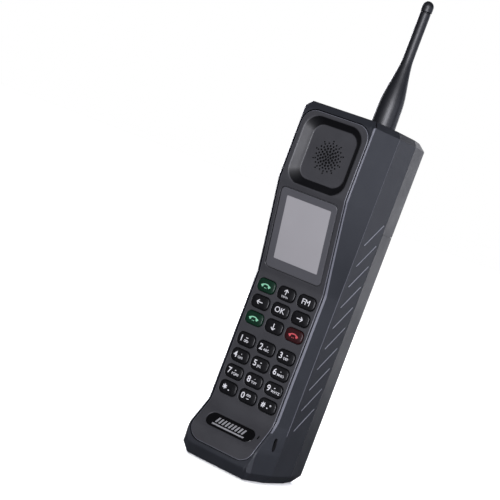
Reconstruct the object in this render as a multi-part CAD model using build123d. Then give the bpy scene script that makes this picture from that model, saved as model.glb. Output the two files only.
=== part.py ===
from build123d import *
import os
from math import cos, pi, sin

# Early mobile brick phone, in millimetres. +Z is up towards the antenna, the keypad faces -Y and
# the origin is at the middle of the footprint, on the face the phone stands on.

# Driving dimensions of the case
HEIGHT = 198.8
RIDGE_HALF = 26.0
BACK_HALF = 23.5
BACK_Y = 30.7
HEAD_Y = -30.7
KEYPAD_Y = -16.3
RIDGE_FRONT_Y = -7.8
RIDGE_REAR_Y = 13.2
EDGE_RISE = 5.0
EDGE_INSET = 3.0
TOP_RISE = 3.4
TOP_INSET = 2.0
TOP_BACK_INSET = 6.0
WALL = 2.0
WIDE = 60.0

# Front cover, laid into the case with a narrow groove round it
COVER_THICK = 2.2
COVER_HALF = 20.7
COVER_BOTTOM = 8.9
COVER_TOP = 194.7
COVER_CORNER = 8.0
GROOVE = 0.5

# Side view of the front, from the bottom up: (y, z, bend radius, +1 hollow or -1 round)
CHIN_TOP_Y, CHIN_TOP_Z = KEYPAD_Y, 30.7
CHIN_LIP_Y, CHIN_LIP_Z = -26.8, 16.3
HINGE_Z = 104.8
BROW_Z = 155.2
FRONT_LINE = [
    (-20.8, -4.8, 0, 0),
    (-27.8, 6.2, 1.0, -1),
    (CHIN_LIP_Y, CHIN_LIP_Z, 8.0, -1),
    (CHIN_TOP_Y, CHIN_TOP_Z, 12.0, 1),
    (KEYPAD_Y, HINGE_Z, 8.0, 1),
    (HEAD_Y, BROW_Z, 3.5, -1),
    (HEAD_Y, 194.8, 1.0, -1),
    (-24.1, 204.4, 0, 0),
]
SMALLEST_BEND = 0.4

# Case sections, from the bottom up: (z, front y, half-width at the front, inset)
PUSH = 1.5
SECTIONS = [
    (0.0, -24.0, 21.8, 1.0),
    (EDGE_RISE, -27.8, 21.8, 0.0),
    (CHIN_LIP_Z, CHIN_LIP_Y, 21.8, 0.0),
    (CHIN_TOP_Z, CHIN_TOP_Y, 21.5, 0.0),
    (HINGE_Z, KEYPAD_Y, 21.5, 0.0),
    (BROW_Z, HEAD_Y, 21.8, 0.0),
    (HEIGHT - TOP_RISE, HEAD_Y, 21.8, 0.0),
    (HEIGHT, -28.0, 21.8, 1.0),
]
CHIN_CORNER_CUT = 47.2
CHIN_CORNER_LEAN = 0.108

# Battery bay behind a dividing wall, closed by the battery cover
DIVIDER_THICK = 1.6
BAY_TOP = 145.5
SEAM = 0.3
COVER_WALL = 1.8

# Grip lines on both sides
GRIP_COUNT = 10
GRIP_FIRST_Z = 30.8
GRIP_STEP = 11.74
GRIP_FRONT_Y = -2.8
GRIP_RUN = 14.0
GRIP_WIDTH = 0.9
GRIP_DEPTH = 0.35

# Keys
KEY_PITCH_X = 13.08
KEY_WIDE = 11.0
KEY_TALL = 7.0
KEY_CORNER = 2.6
KEY_PROUD = 0.9
KEY_EDGE = 0.5
KEY_GAP = 0.25
FLANGE_EXTRA = 0.6
FLANGE_THICK = 0.7
FLANGE_GAP = 0.3
KEY_TRAVEL = 0.5
KEY_ROWS = [
    (97.95, ("key_call_first", "key_up", "key_radio")),
    (88.65, ("key_left", "key_centre", "key_right")),
    (79.35, ("key_call_second", "key_down", "key_end")),
    (67.05, ("key_1", "key_2", "key_3")),
    (57.80, ("key_4", "key_5", "key_6")),
    (48.55, ("key_7", "key_8", "key_9")),
    (39.30, ("key_star", "key_0", "key_hash")),
]

# Keypad mat and circuit board, stacked behind the keys
MAT_GAP = 0.4
MAT_THICK = 1.2
MAT_HALF = 15.8
BOARD_THICK = 1.6
BOARD_BOTTOM = 20.0
BOARD_TOP = 186.0

# Display, on the slope between keypad and head, measured up the slope from the hinge line
WINDOW_WIDE = 36.3
WINDOW_LOW = 3.1
WINDOW_HIGH = 48.5
WINDOW_CORNER = 3.0
WINDOW_THICK = 1.0
SIGHT_WIDE = 31.0
SIGHT_TALL = 38.0
SIGHT_MID = 26.72
MODULE_WIDE = 33.6
MODULE_TALL = 43.0
MODULE_THICK = 2.4
GASKET_THICK = 0.4

# Ear recess in the head
EAR_MID_Z = 173.9
EAR_RIM_WIDE = 36.4
EAR_RIM_TALL = 36.8
EAR_RIM_CORNER = 8.5
EAR_FLOOR_WIDE = 26.8
EAR_FLOOR_TALL = 29.7
EAR_FLOOR_CORNER = 6.0
EAR_DEPTH = 4.0
EAR_WALL = 1.2
SOUND_HOLE = 0.45
SOUND_RINGS = [(0.0, 1), (2.3, 6), (4.3, 12), (6.1, 16), (7.7, 12)]

# Chin badge and microphone, measured up the chin slope from the lip
BADGE_WIDE = 31.0
BADGE_TALL = 8.6
BADGE_RISE = 7.1
BADGE_RECESS = 0.9
BADGE_THICK = 0.6
MIC_X = 17.6
MIC_RISE = 8.6
MIC_SLOT_WIDE = 0.7
MIC_SLOT_TALL = 2.4

# Charging socket in the right side of the chin
SOCKET_Z = 22.0
SOCKET_Y = -14.3
SOCKET_LONG = 6.9
SOCKET_HIGH = 1.8
SOCKET_WALL = 0.35
SOCKET_OUT = 23.6
SOCKET_IN = 18.4

# Antenna, screwed into a bush in the top of the case
ANTENNA_X = 10.2
ANTENNA_Y = -1.3
ANTENNA_BASE = 199.1
ANTENNA_TOP = 270.0
SLEEVE_TOP = 263.5
SLEEVE_PROFILE = [(7.0, ANTENNA_BASE), (6.85, 205.0), (6.55, 214.0), (4.95, 225.0), (3.75, 230.0),
                  (3.05, 235.0), (2.95, 240.0), (2.95, 263.5)]
STUD_RADIUS = 2.95
STUD_LOW = 188.5
STUD_HIGH = 206.0
BUSH_RADIUS = 5.0
BUSH_BORE = 3.02
BUSH_LOW = 188.0
BOSS_RADIUS = 6.6
CORE_RADIUS = 1.0
CORE_HIGH = 257.0
CAP_RADIUS = 3.2
CAP_LOW = 263.9
SPIGOT_RADIUS = 1.9

# Case screws, driven from the battery bay into posts on the front cover
SCREW_PLACES = [(15.5, 12.5), (-15.5, 12.5), (18.2, 106.0), (-18.2, 106.0)]
POST_RADIUS = 2.1
POST_END_Y = -5.2
BOSS_END_Y = -5.0
SCREW_RADIUS = 1.0
HEAD_RADIUS = 1.9
HEAD_THICK = 1.4

# Parts in the battery bay and on the board
PACK_SIZE = (38.0, 13.4, 98.0)
PACK_LOW = 10.0
SIM_SIZE = (13.0, 1.4, 16.0)
SIM_MID_Z = 130.0
CONTACT_SIZE = (14.0, 3.6, 3.4)
SPEAKER_RADIUS = 11.0
SPEAKER_THICK = 4.5
LOUDSPEAKER_RADIUS = 14.0
LOUDSPEAKER_THICK = 5.0
LOUDSPEAKER_Z = 172.0
SLOT_COUNT = 5
SLOT_STEP = 3.6
SHIELD_SIZE = (26.0, 2.4, 30.0)
MOTOR_RADIUS = 2.2
MOTOR_LONG = 10.0

# Planes that follow the sloping stretches of the front, each with its normal pointing out
SLOPE_RUN = Vector(0, HEAD_Y - KEYPAD_Y, BROW_Z - HINGE_Z).normalized()
SLOPE = Plane(origin=(0, KEYPAD_Y, HINGE_Z), x_dir=(1, 0, 0), z_dir=Vector(1, 0, 0).cross(SLOPE_RUN))
CHIN_RUN = Vector(0, CHIN_TOP_Y - CHIN_LIP_Y, CHIN_TOP_Z - CHIN_LIP_Z).normalized()
CHIN = Plane(origin=(0, CHIN_LIP_Y, CHIN_LIP_Z), x_dir=(1, 0, 0), z_dir=Vector(1, 0, 0).cross(CHIN_RUN))

MAT_FRONT = KEYPAD_Y + COVER_THICK + FLANGE_GAP + FLANGE_THICK + KEY_TRAVEL + MAT_GAP
BOARD_FRONT = MAT_FRONT + MAT_THICK
BOARD_BACK = BOARD_FRONT + BOARD_THICK


def slab(low, high):
    """Block between two opposite corners."""
    size = [high[i] - low[i] for i in range(3)]
    middle = [(high[i] + low[i]) / 2 for i in range(3)]
    return Pos(*middle) * Box(*size)


def raised(plane, shape, low, high):
    """Flat shape on a plane, made solid between two heights above that plane."""
    return extrude(plane.offset(low) * shape, high - low)


def facing_front(shape, front_y, back_y):
    """Flat shape drawn in x and z, made solid from front_y back to back_y."""
    return raised(Plane.XZ, shape, -back_y, -front_y)


def upright_rod(x, y, radius, low, high):
    """Round rod standing on z = low."""
    return Pos(x, y, (low + high) / 2) * Cylinder(radius, high - low)


def level_rod(x, z, radius, front_y, back_y):
    """Round rod lying along y."""
    return facing_front(Pos(x, z) * Circle(radius), front_y, back_y)


def shifted_line(depth):
    """Corners of the front line moved square to itself towards the back."""
    corners = [Vector(y, z) for y, z, radius, sense in FRONT_LINE]
    runs = [(b - a).normalized() for a, b in zip(corners, corners[1:])]
    backs = [Vector(run.Y, -run.X) for run in runs]
    pairs = zip([backs[0]] + backs, backs + [backs[-1]])
    return [corner + (a + b) * (depth / (1 + a.dot(b))) for corner, (a, b) in zip(corners, pairs)]


def behind_front(depth):
    """All the space behind the front surface moved in by depth."""
    corners = shifted_line(depth)
    radii = [max(radius + sense * depth, SMALLEST_BEND) for y, z, radius, sense in FRONT_LINE[1:-1]]
    outline = FilletPolyline(*corners, radius=radii)
    outline += Polyline(corners[-1], (WIDE, corners[-1].Y), (WIDE, corners[0].Y), corners[0])
    return extrude(Plane.YZ * make_face(outline), WIDE, both=True)


def section(z, front_y, rim_half, inset, wall):
    """One level of the case: front edge, two ridges on each side and the back."""
    upper = z > HINGE_Z
    side_inset = (TOP_INSET if upper else EDGE_INSET) * inset + wall
    back_inset = (TOP_BACK_INSET if upper else EDGE_INSET) * inset + wall
    right = [
        (rim_half - side_inset, front_y - PUSH),
        (RIDGE_HALF - side_inset, RIDGE_FRONT_Y),
        (RIDGE_HALF - side_inset, RIDGE_REAR_Y),
        (BACK_HALF - side_inset, BACK_Y - back_inset),
    ]
    left = [(-x, y) for x, y in reversed(right)]
    return Pos(0, 0, z) * make_face(Polyline(*right, *left, close=True))


def case_form(wall=0.0):
    """The faceted outside of the case, or its inside when a wall is given."""
    return loft([section(*level, wall) for level in SECTIONS], ruled=True)


def corner_cut(side):
    """Block outside the slanting flat on one lower front corner of the case."""
    normal = Vector(side, -1, -CHIN_CORNER_LEAN)
    plane = Plane(origin=(0, -CHIN_CORNER_CUT, 0), x_dir=(0, 0, 1), z_dir=normal)
    return extrude(plane * Rectangle(2 * WIDE, 4 * WIDE), WIDE)


def whole_case():
    """Outside of the closed phone, without its cover groove."""
    form = case_form() & behind_front(0)
    for side in (-1, 1):
        form -= corner_cut(side)
    return form


def cover_outline(extra):
    """Rounded outline of the front cover, seen from the front."""
    middle = (COVER_BOTTOM + COVER_TOP) / 2
    width = 2 * (COVER_HALF + extra)
    height = COVER_TOP - COVER_BOTTOM + 2 * extra
    return Pos(0, middle) * RectangleRounded(width, height, COVER_CORNER + extra)


def key_places():
    """Name, x and z of each key."""
    for z, names in KEY_ROWS:
        for column, name in enumerate(names):
            yield name, (column - 1) * KEY_PITCH_X, z


def grip_lines():
    """Slanting grip grooves on both sides of the case."""
    stroke = Rot(0, 0, 45) * SlotOverall(GRIP_RUN * 2 ** 0.5, GRIP_WIDTH)
    grooves = Part()
    for number in range(GRIP_COUNT):
        middle_z = GRIP_FIRST_Z + number * GRIP_STEP + GRIP_RUN / 2
        placed = Pos(GRIP_FRONT_Y + GRIP_RUN / 2, middle_z) * stroke
        for x in (-RIDGE_HALF, RIDGE_HALF):
            grooves += extrude(Plane.YZ.offset(x) * placed, GRIP_DEPTH, both=True)
    return grooves


def rear_slots():
    """Sound slots in the back of the head."""
    slots = Part()
    for number in range(SLOT_COUNT):
        z = LOUDSPEAKER_Z + (number - (SLOT_COUNT - 1) / 2) * SLOT_STEP
        slots += facing_front(Pos(0, z) * SlotOverall(17, 1.3), BACK_Y - 4, BACK_Y + 1)
    return slots


def rear_shell():
    """Main case, open at the front for the cover and at the back for the battery bay."""
    far = WIDE
    divider_front = RIDGE_REAR_Y - DIVIDER_THICK
    inside = case_form(WALL) & behind_front(COVER_THICK)
    lower = inside & slab((-far, -far, WALL), (far, divider_front, HEIGHT - WALL))
    upper = inside & slab((-far, divider_front - 1, BAY_TOP + WALL), (far, far, HEIGHT - WALL))
    shell = whole_case() - lower - upper
    shell -= slab((-far, RIDGE_REAR_Y, -1), (far, far, BAY_TOP))
    shell -= facing_front(cover_outline(GROOVE), -far, far) - behind_front(COVER_THICK)
    shell += upright_rod(ANTENNA_X, ANTENNA_Y, BOSS_RADIUS, BUSH_LOW, HEIGHT - WALL)
    shell -= upright_rod(ANTENNA_X, ANTENNA_Y, BUSH_RADIUS, BUSH_LOW - 1, HEIGHT + 1)
    for x, z in SCREW_PLACES:
        shell += level_rod(x, z, POST_RADIUS + 0.4, BOSS_END_Y, RIDGE_REAR_Y)
        shell -= level_rod(x, z, SCREW_RADIUS + 0.15, -far, RIDGE_REAR_Y + 1)
        shell -= level_rod(x, z, HEAD_RADIUS + 0.1, RIDGE_REAR_Y - HEAD_THICK, RIDGE_REAR_Y + 1)
    shell -= slab((SOCKET_IN, SOCKET_Y - SOCKET_HIGH / 2 - 0.2, SOCKET_Z - SOCKET_LONG / 2 - 0.2),
                  (far, SOCKET_Y + SOCKET_HIGH / 2 + 0.2, SOCKET_Z + SOCKET_LONG / 2 + 0.2))
    return shell - grip_lines() - rear_slots()


def battery_cover():
    """Tray-shaped cover over the battery bay, parted from the case by a seam."""
    region = slab((-WIDE, RIDGE_REAR_Y + SEAM, -1), (WIDE, WIDE, BAY_TOP - SEAM))
    hollow = case_form(COVER_WALL) & slab((-WIDE, -WIDE, COVER_WALL), (WIDE, WIDE, HEIGHT))
    return (whole_case() & region) - hollow


def ear_dish(extra, depth):
    """Tapered rounded-square form of the ear recess."""
    rim = Pos(0, EAR_MID_Z) * RectangleRounded(EAR_RIM_WIDE + 2 * extra, EAR_RIM_TALL + 2 * extra,
                                               EAR_RIM_CORNER + extra)
    floor = Pos(0, EAR_MID_Z) * RectangleRounded(EAR_FLOOR_WIDE + 2 * extra,
                                                 EAR_FLOOR_TALL + 2 * extra,
                                                 EAR_FLOOR_CORNER + extra)
    return loft([Plane.XZ.offset(-HEAD_Y) * rim, Plane.XZ.offset(-HEAD_Y - depth) * floor])


def sound_holes():
    """Rings of small round holes through the floor of the ear recess."""
    drills = []
    for radius, count in SOUND_RINGS:
        for number in range(count):
            angle = 2 * pi * number / count
            drills.append((radius * cos(angle), EAR_MID_Z + radius * sin(angle)))
    shape = Sketch() + [Pos(x, z) * Circle(SOUND_HOLE) for x, z in drills]
    return facing_front(shape, HEAD_Y, HEAD_Y + EAR_DEPTH + 3)


def front_cover():
    """Front moulding with the key holes, the display opening, the ear recess and the badge recess."""
    cover = facing_front(cover_outline(0), -WIDE, WIDE) & behind_front(0)
    cover -= behind_front(COVER_THICK)
    cover += ear_dish(EAR_WALL, EAR_DEPTH + EAR_WALL) & behind_front(0)
    cover -= ear_dish(0, EAR_DEPTH)
    cover -= sound_holes()
    window = Pos(0, (WINDOW_LOW + WINDOW_HIGH) / 2) * RectangleRounded(
        WINDOW_WIDE, WINDOW_HIGH - WINDOW_LOW, WINDOW_CORNER)
    cover -= raised(SLOPE, window, -WINDOW_THICK - 0.1, 2)
    cover -= raised(SLOPE, Pos(0, SIGHT_MID) * Rectangle(SIGHT_WIDE, SIGHT_TALL), -4, 2)
    for name, x, z in key_places():
        hole = Pos(x, z) * RectangleRounded(KEY_WIDE + 2 * KEY_GAP, KEY_TALL + 2 * KEY_GAP,
                                            KEY_CORNER + KEY_GAP)
        cover -= facing_front(hole, KEYPAD_Y - 3, KEYPAD_Y + 3)
    for x, z in SCREW_PLACES:
        cover += level_rod(x, z, POST_RADIUS, -WIDE, POST_END_Y) & behind_front(COVER_THICK / 2)
        cover -= level_rod(x, z, SCREW_RADIUS + 0.05, POST_END_Y - 5, POST_END_Y + 1)
    badge = Pos(0, BADGE_RISE) * SlotOverall(BADGE_WIDE, BADGE_TALL)
    cover -= raised(CHIN, badge, -BADGE_RECESS, 3)
    slot = Pos(MIC_X, MIC_RISE) * Rectangle(MIC_SLOT_WIDE, MIC_SLOT_TALL)
    return cover - raised(CHIN, slot, -4, 3)


def key():
    """Domed key cap with a retaining flange behind the cover, centred on x = 0 and z = 0."""
    cap = facing_front(RectangleRounded(KEY_WIDE, KEY_TALL, KEY_CORNER),
                       KEYPAD_Y - KEY_PROUD, KEYPAD_Y + COVER_THICK + FLANGE_GAP)
    cap = fillet(cap.faces().sort_by(Axis.Y)[0].edges(), KEY_EDGE)
    flange_front = KEYPAD_Y + COVER_THICK + FLANGE_GAP
    flange = RectangleRounded(KEY_WIDE + 2 * FLANGE_EXTRA, KEY_TALL + 2 * FLANGE_EXTRA,
                              KEY_CORNER + FLANGE_EXTRA)
    return cap + facing_front(flange, flange_front, flange_front + FLANGE_THICK)


def display_window():
    """Flat cover glass over the display."""
    outline = Pos(0, (WINDOW_LOW + WINDOW_HIGH) / 2) * RectangleRounded(
        WINDOW_WIDE - 0.2, WINDOW_HIGH - WINDOW_LOW - 0.2, WINDOW_CORNER)
    return raised(SLOPE, outline, -WINDOW_THICK - 0.1, -0.1)


def display_gasket():
    """Foam frame between the cover and the display module."""
    outside = Pos(0, SIGHT_MID) * Rectangle(MODULE_WIDE, MODULE_TALL)
    inside = Pos(0, SIGHT_MID) * Rectangle(SIGHT_WIDE, SIGHT_TALL)
    return raised(SLOPE, outside - inside, -COVER_THICK - GASKET_THICK, -COVER_THICK)


def display_module():
    """Display panel behind the gasket."""
    outline = Pos(0, SIGHT_MID) * Rectangle(MODULE_WIDE, MODULE_TALL)
    face = -COVER_THICK - GASKET_THICK
    return raised(SLOPE, outline, face - MODULE_THICK, face)


def keypad_mat():
    """Silicone mat under the keys."""
    low = KEY_ROWS[-1][0] - KEY_TALL / 2
    high = KEY_ROWS[0][0] + KEY_TALL / 2
    return slab((-MAT_HALF, MAT_FRONT, low), (MAT_HALF, BOARD_FRONT, high))


def circuit_board():
    """Main board behind the mat, held between the posts."""
    return slab((-MAT_HALF, BOARD_FRONT, BOARD_BOTTOM), (MAT_HALF, BOARD_BACK, BOARD_TOP))


def shield_can():
    """Metal can over the radio parts of the board."""
    wide, deep, tall = SHIELD_SIZE
    return slab((-wide / 2, BOARD_BACK, 118), (wide / 2, BOARD_BACK + deep, 118 + tall))


def vibration_motor():
    """Small round motor lying on the board."""
    return Pos(6, BOARD_BACK + MOTOR_RADIUS, 44) * Cylinder(MOTOR_RADIUS, MOTOR_LONG)


def earpiece_mesh():
    """Dust mesh on the back of the ear recess."""
    back = HEAD_Y + EAR_DEPTH + EAR_WALL
    return level_rod(0, EAR_MID_Z, SPEAKER_RADIUS - 1, back, back + 0.3)


def earpiece_speaker():
    """Round earpiece behind the mesh."""
    front = HEAD_Y + EAR_DEPTH + EAR_WALL + 0.3
    return level_rod(0, EAR_MID_Z, SPEAKER_RADIUS, front, front + SPEAKER_THICK)


def microphone():
    """Round microphone behind the slot in the chin."""
    capsule = Pos(MIC_X - 0.6, MIC_RISE) * Circle(1.6)
    return raised(CHIN, capsule, -COVER_THICK - 1.5, -COVER_THICK)


def badge_plate():
    """Plain oval plate in the chin recess."""
    outline = Pos(0, BADGE_RISE) * SlotOverall(BADGE_WIDE - 0.3, BADGE_TALL - 0.3)
    return raised(CHIN, outline, -BADGE_RECESS, BADGE_THICK - BADGE_RECESS)


def usb_socket():
    """Flat metal charging socket with an open mouth."""
    half_high = SOCKET_HIGH / 2
    half_long = SOCKET_LONG / 2
    outside = slab((SOCKET_IN, SOCKET_Y - half_high, SOCKET_Z - half_long),
                   (SOCKET_OUT, SOCKET_Y + half_high, SOCKET_Z + half_long))
    mouth = slab((SOCKET_IN + 1, SOCKET_Y - half_high + SOCKET_WALL, SOCKET_Z - half_long + SOCKET_WALL),
                 (SOCKET_OUT + 1, SOCKET_Y + half_high - SOCKET_WALL, SOCKET_Z + half_long - SOCKET_WALL))
    return outside - mouth


def battery_pack():
    """Battery lying against the dividing wall."""
    wide, deep, tall = PACK_SIZE
    pack = slab((-wide / 2, RIDGE_REAR_Y + 0.1, PACK_LOW), (wide / 2, RIDGE_REAR_Y + deep, PACK_LOW + tall))
    return fillet(pack.edges().filter_by(Axis.Z), 2.0)


def battery_contacts():
    """Contact block above the battery."""
    wide, deep, tall = CONTACT_SIZE
    low = PACK_LOW + PACK_SIZE[2] + 0.2
    return slab((-wide / 2, RIDGE_REAR_Y, low), (wide / 2, RIDGE_REAR_Y + deep, low + tall))


def sim_sockets():
    """Two card sockets side by side above the battery."""
    wide, deep, tall = SIM_SIZE
    sockets = Part()
    for x in (-9.0, 9.0):
        sockets += slab((x - wide / 2, RIDGE_REAR_Y, SIM_MID_Z - tall / 2),
                        (x + wide / 2, RIDGE_REAR_Y + deep, SIM_MID_Z + tall / 2))
    return sockets


def rear_loudspeaker():
    """Ringer loudspeaker against the inside of the back."""
    back = BACK_Y - WALL
    return level_rod(0, LOUDSPEAKER_Z, LOUDSPEAKER_RADIUS, back - LOUDSPEAKER_THICK, back)


def case_screws():
    """Four screws from the battery bay into the posts of the front cover."""
    screws = Part()
    for x, z in SCREW_PLACES:
        screws += level_rod(x, z, HEAD_RADIUS, RIDGE_REAR_Y - HEAD_THICK, RIDGE_REAR_Y - 0.1)
        screws += level_rod(x, z, SCREW_RADIUS, POST_END_Y - 4.5, RIDGE_REAR_Y - HEAD_THICK)
    return screws


def antenna_bush():
    """Threaded bush moulded into the top of the case."""
    bush = upright_rod(ANTENNA_X, ANTENNA_Y, BUSH_RADIUS, BUSH_LOW, HEIGHT)
    return bush - upright_rod(ANTENNA_X, ANTENNA_Y, BUSH_BORE, BUSH_LOW - 1, HEIGHT + 1)


def antenna_stud():
    """Metal stud that screws into the bush."""
    return upright_rod(ANTENNA_X, ANTENNA_Y, STUD_RADIUS, STUD_LOW, STUD_HIGH)


def antenna_core():
    """Radiator rod inside the sleeve."""
    return upright_rod(ANTENNA_X, ANTENNA_Y, CORE_RADIUS, STUD_HIGH, CORE_HIGH)


def turned(outline):
    """Solid of revolution about the antenna's own axis from (radius, height) corners."""
    face = make_face(outline)
    return Pos(ANTENNA_X, ANTENNA_Y, 0) * revolve(Plane.XZ * face, Axis.Z)


def antenna_sleeve():
    """Tapered rubber sleeve, hollow for the stud, the core and the cap's spigot."""
    outline = Polyline((0, ANTENNA_BASE), SLEEVE_PROFILE[0])
    outline += Spline(*SLEEVE_PROFILE[:-1], tangents=((0, 1), (0, 1)))
    outline += Polyline(SLEEVE_PROFILE[-2], SLEEVE_PROFILE[-1], (0, SLEEVE_TOP), (0, ANTENNA_BASE))
    sleeve = turned(outline)
    sleeve -= upright_rod(ANTENNA_X, ANTENNA_Y, STUD_RADIUS, ANTENNA_BASE - 1, STUD_HIGH)
    sleeve -= upright_rod(ANTENNA_X, ANTENNA_Y, CORE_RADIUS, STUD_HIGH - 1, CORE_HIGH)
    return sleeve - upright_rod(ANTENNA_X, ANTENNA_Y, SPIGOT_RADIUS, CORE_HIGH, SLEEVE_TOP + 1)


def antenna_tip_cap():
    """Rounded cap with a spigot in the end of the sleeve."""
    cap = upright_rod(ANTENNA_X, ANTENNA_Y, CAP_RADIUS, CAP_LOW, ANTENNA_TOP)
    cap = fillet(cap.edges().sort_by(Axis.Z)[-1], CAP_RADIUS - 0.4)
    return cap + upright_rod(ANTENNA_X, ANTENNA_Y, SPIGOT_RADIUS, CORE_HIGH, CAP_LOW)


PARTS = {
    "rear_shell": rear_shell,
    "front_cover": front_cover,
    "battery_cover": battery_cover,
    "display_window": display_window,
    "display_gasket": display_gasket,
    "display_module": display_module,
    "keypad_mat": keypad_mat,
    "main_circuit_board": circuit_board,
    "shield_can": shield_can,
    "vibration_motor": vibration_motor,
    "earpiece_mesh": earpiece_mesh,
    "earpiece_speaker": earpiece_speaker,
    "microphone": microphone,
    "badge_plate": badge_plate,
    "usb_socket": usb_socket,
    "battery_pack": battery_pack,
    "battery_contacts": battery_contacts,
    "sim_sockets": sim_sockets,
    "rear_loudspeaker": rear_loudspeaker,
    "case_screws": case_screws,
    "antenna_bush": antenna_bush,
    "antenna_stud": antenna_stud,
    "antenna_core": antenna_core,
    "antenna_sleeve": antenna_sleeve,
    "antenna_tip_cap": antenna_tip_cap,
}

os.makedirs("parts", exist_ok=True)
for name, make in PARTS.items():
    export_step(make(), f"parts/{name}.step")
for name, x, z in key_places():
    export_step(Pos(x, 0, z) * key(), f"parts/{name}.step")
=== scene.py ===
import math
import bmesh
import bpy
import numpy as np
from mathutils import Matrix, Vector


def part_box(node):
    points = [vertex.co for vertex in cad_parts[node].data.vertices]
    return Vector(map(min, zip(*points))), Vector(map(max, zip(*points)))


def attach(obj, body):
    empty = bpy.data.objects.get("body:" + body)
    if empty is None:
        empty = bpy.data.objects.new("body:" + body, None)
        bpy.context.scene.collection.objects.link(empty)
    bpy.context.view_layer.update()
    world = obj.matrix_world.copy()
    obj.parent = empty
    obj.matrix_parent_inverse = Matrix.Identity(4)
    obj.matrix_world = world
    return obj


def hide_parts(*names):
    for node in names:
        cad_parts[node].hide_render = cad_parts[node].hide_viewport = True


bl_info = {
    "name": "Early mobile brick phone",
    "version": (1, 0, 0),
    "blender": (4, 5, 0),
    "location": "3D View > Sidebar > Brick phone",
    "description": "Builds the moulded case, keys, display and antenna of a brick phone round its frame",
    "category": "Add Mesh",
}

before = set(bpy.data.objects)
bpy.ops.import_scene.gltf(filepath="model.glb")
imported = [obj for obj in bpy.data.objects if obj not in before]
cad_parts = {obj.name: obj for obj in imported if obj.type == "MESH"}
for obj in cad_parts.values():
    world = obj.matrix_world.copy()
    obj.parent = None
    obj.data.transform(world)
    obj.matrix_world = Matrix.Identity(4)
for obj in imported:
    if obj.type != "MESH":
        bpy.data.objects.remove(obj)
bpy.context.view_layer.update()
MM = 0.001


def node_box(node):
    """Lowest and highest corner of a frame node, as arrays in metres."""
    low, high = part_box(node)
    return np.array(low), np.array(high)


CASE_LOW, CASE_HIGH = node_box("rear_shell")
COVER_LOW, COVER_HIGH = node_box("front_cover")
BACK_HIGH = node_box("battery_cover")[1]
KEY_LOW, KEY_HIGH = node_box("key_5")
BADGE_LOW, BADGE_HIGH = node_box("badge_plate")
SLEEVE_LOW, SLEEVE_HIGH = node_box("antenna_sleeve")
TIP_LOW, TIP_HIGH = node_box("antenna_tip_cap")
SOCKET_LOW, SOCKET_HIGH = node_box("usb_socket")
EAR_LOW, EAR_HIGH = node_box("earpiece_speaker")
SPEAKER_LOW, SPEAKER_HIGH = node_box("rear_loudspeaker")

KEY_LEGENDS = {
    "key_1": ("1", ""), "key_2": ("2", "ABC"), "key_3": ("3", "DEF"), "key_4": ("4", "GHI"),
    "key_5": ("5", "JKL"), "key_6": ("6", "MNO"), "key_7": ("7", "PQRS"), "key_8": ("8", "TUV"),
    "key_9": ("9", "WXYZ"), "key_star": ("*", ""), "key_0": ("0", ""), "key_hash": ("#", ""),
}
KEY_SIGNS = {
    "key_call_first": "call", "key_call_second": "call", "key_end": "end", "key_up": "up",
    "key_down": "down", "key_left": "left", "key_right": "right",
}
KEY_WORDS = {"key_centre": "OK", "key_radio": "FM"}
KEY_NAMES = [*KEY_SIGNS, *KEY_WORDS, *KEY_LEGENDS]


def size(name, description, default):
    """A length in metres that a user may change."""
    return bpy.props.FloatProperty(name=name, description=description, default=default * MM,
                                   unit="LENGTH", precision=5)


def colour(name, description, default):
    """An sRGB hex colour that a user may change."""
    return bpy.props.StringProperty(name=name, description=description, default=default)


class CaseSettings(bpy.types.PropertyGroup):
    """Sizes of the moulded case that the frame's boxes don't give."""
    ridge_front: size("Front ridge", "Distance of the front side ridge before the middle", 7.8)
    ridge_rear: size("Rear ridge", "Distance of the rear side ridge behind the middle", 13.2)
    back_half: size("Back half-width", "Half the width of the flat back", 23.5)
    rim_half: size("Rim half-width", "Half the width of the front rim at the head and chin", 21.8)
    grip_half: size("Grip half-width", "Half the width of the front rim beside the keys", 21.5)
    rim_reach: size("Rim reach", "How far before the front those half-widths are measured", 1.5)
    corner_cut: size("Chin corner", "Where the flat across the chin's corners meets the middle", 47.2)
    corner_lean: bpy.props.FloatProperty(name="Chin corner lean", description="Slope of that flat",
                                         default=0.108)
    edge_rise: size("Base chamfer height", "Height of the chamfer round the base", 5.0)
    edge_inset: size("Base chamfer inset", "How far that chamfer comes in", 3.0)
    top_rise: size("Top chamfer height", "Height of the chamfer round the top", 3.4)
    top_inset: size("Top chamfer inset", "How far that chamfer comes in at the sides", 2.0)
    top_back_inset: size("Top rear inset", "How far the top chamfer comes in at the back", 6.0)
    bay_top: size("Bay top", "Height of the seam above the battery cover", 145.5)
    seam: size("Seam", "Gap between the case and the battery cover", 0.3)
    wall: size("Wall", "Thickness of the case wall", 2.0)
    cover_wall: size("Battery cover wall", "Thickness of the battery cover", 1.8)
    groove: size("Groove", "Width of the groove round the front cover", 0.5)
    cover_thick: size("Cover thickness", "Thickness of the front cover", 2.2)
    cover_corner: size("Cover corner", "Corner radius of the front cover", 8.0)
    ridge_round: size("Ridge rounding", "Radius of the long side ridges", 1.3)
    edge_round: size("Edge rounding", "Radius of the other outside edges", 0.8)
    rim_break: size("Rim break", "Width of the broken edge round the front rim", 0.5)
    keypad_y: size("Keypad plane", "Distance of the keypad face before the middle", 16.3)
    head_y: size("Head plane", "Distance of the head's face before the middle", 30.7)
    chin_top: size("Chin top", "Height where the chin starts to flare", 30.7)
    lip_y: size("Lip reach", "Distance of the chin's lip before the middle", 26.8)
    lip_z: size("Lip height", "Height of the chin's lip", 16.3)
    toe_y: size("Toe reach", "Distance of the toe before the middle", 27.8)
    toe_z: size("Toe height", "Height of the toe", 6.2)
    hinge_z: size("Slope foot", "Height where the display slope starts", 104.8)
    brow_z: size("Brow", "Height where the display slope meets the head", 155.2)
    crown_z: size("Crown", "Height where the head's face breaks back", 194.8)


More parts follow.
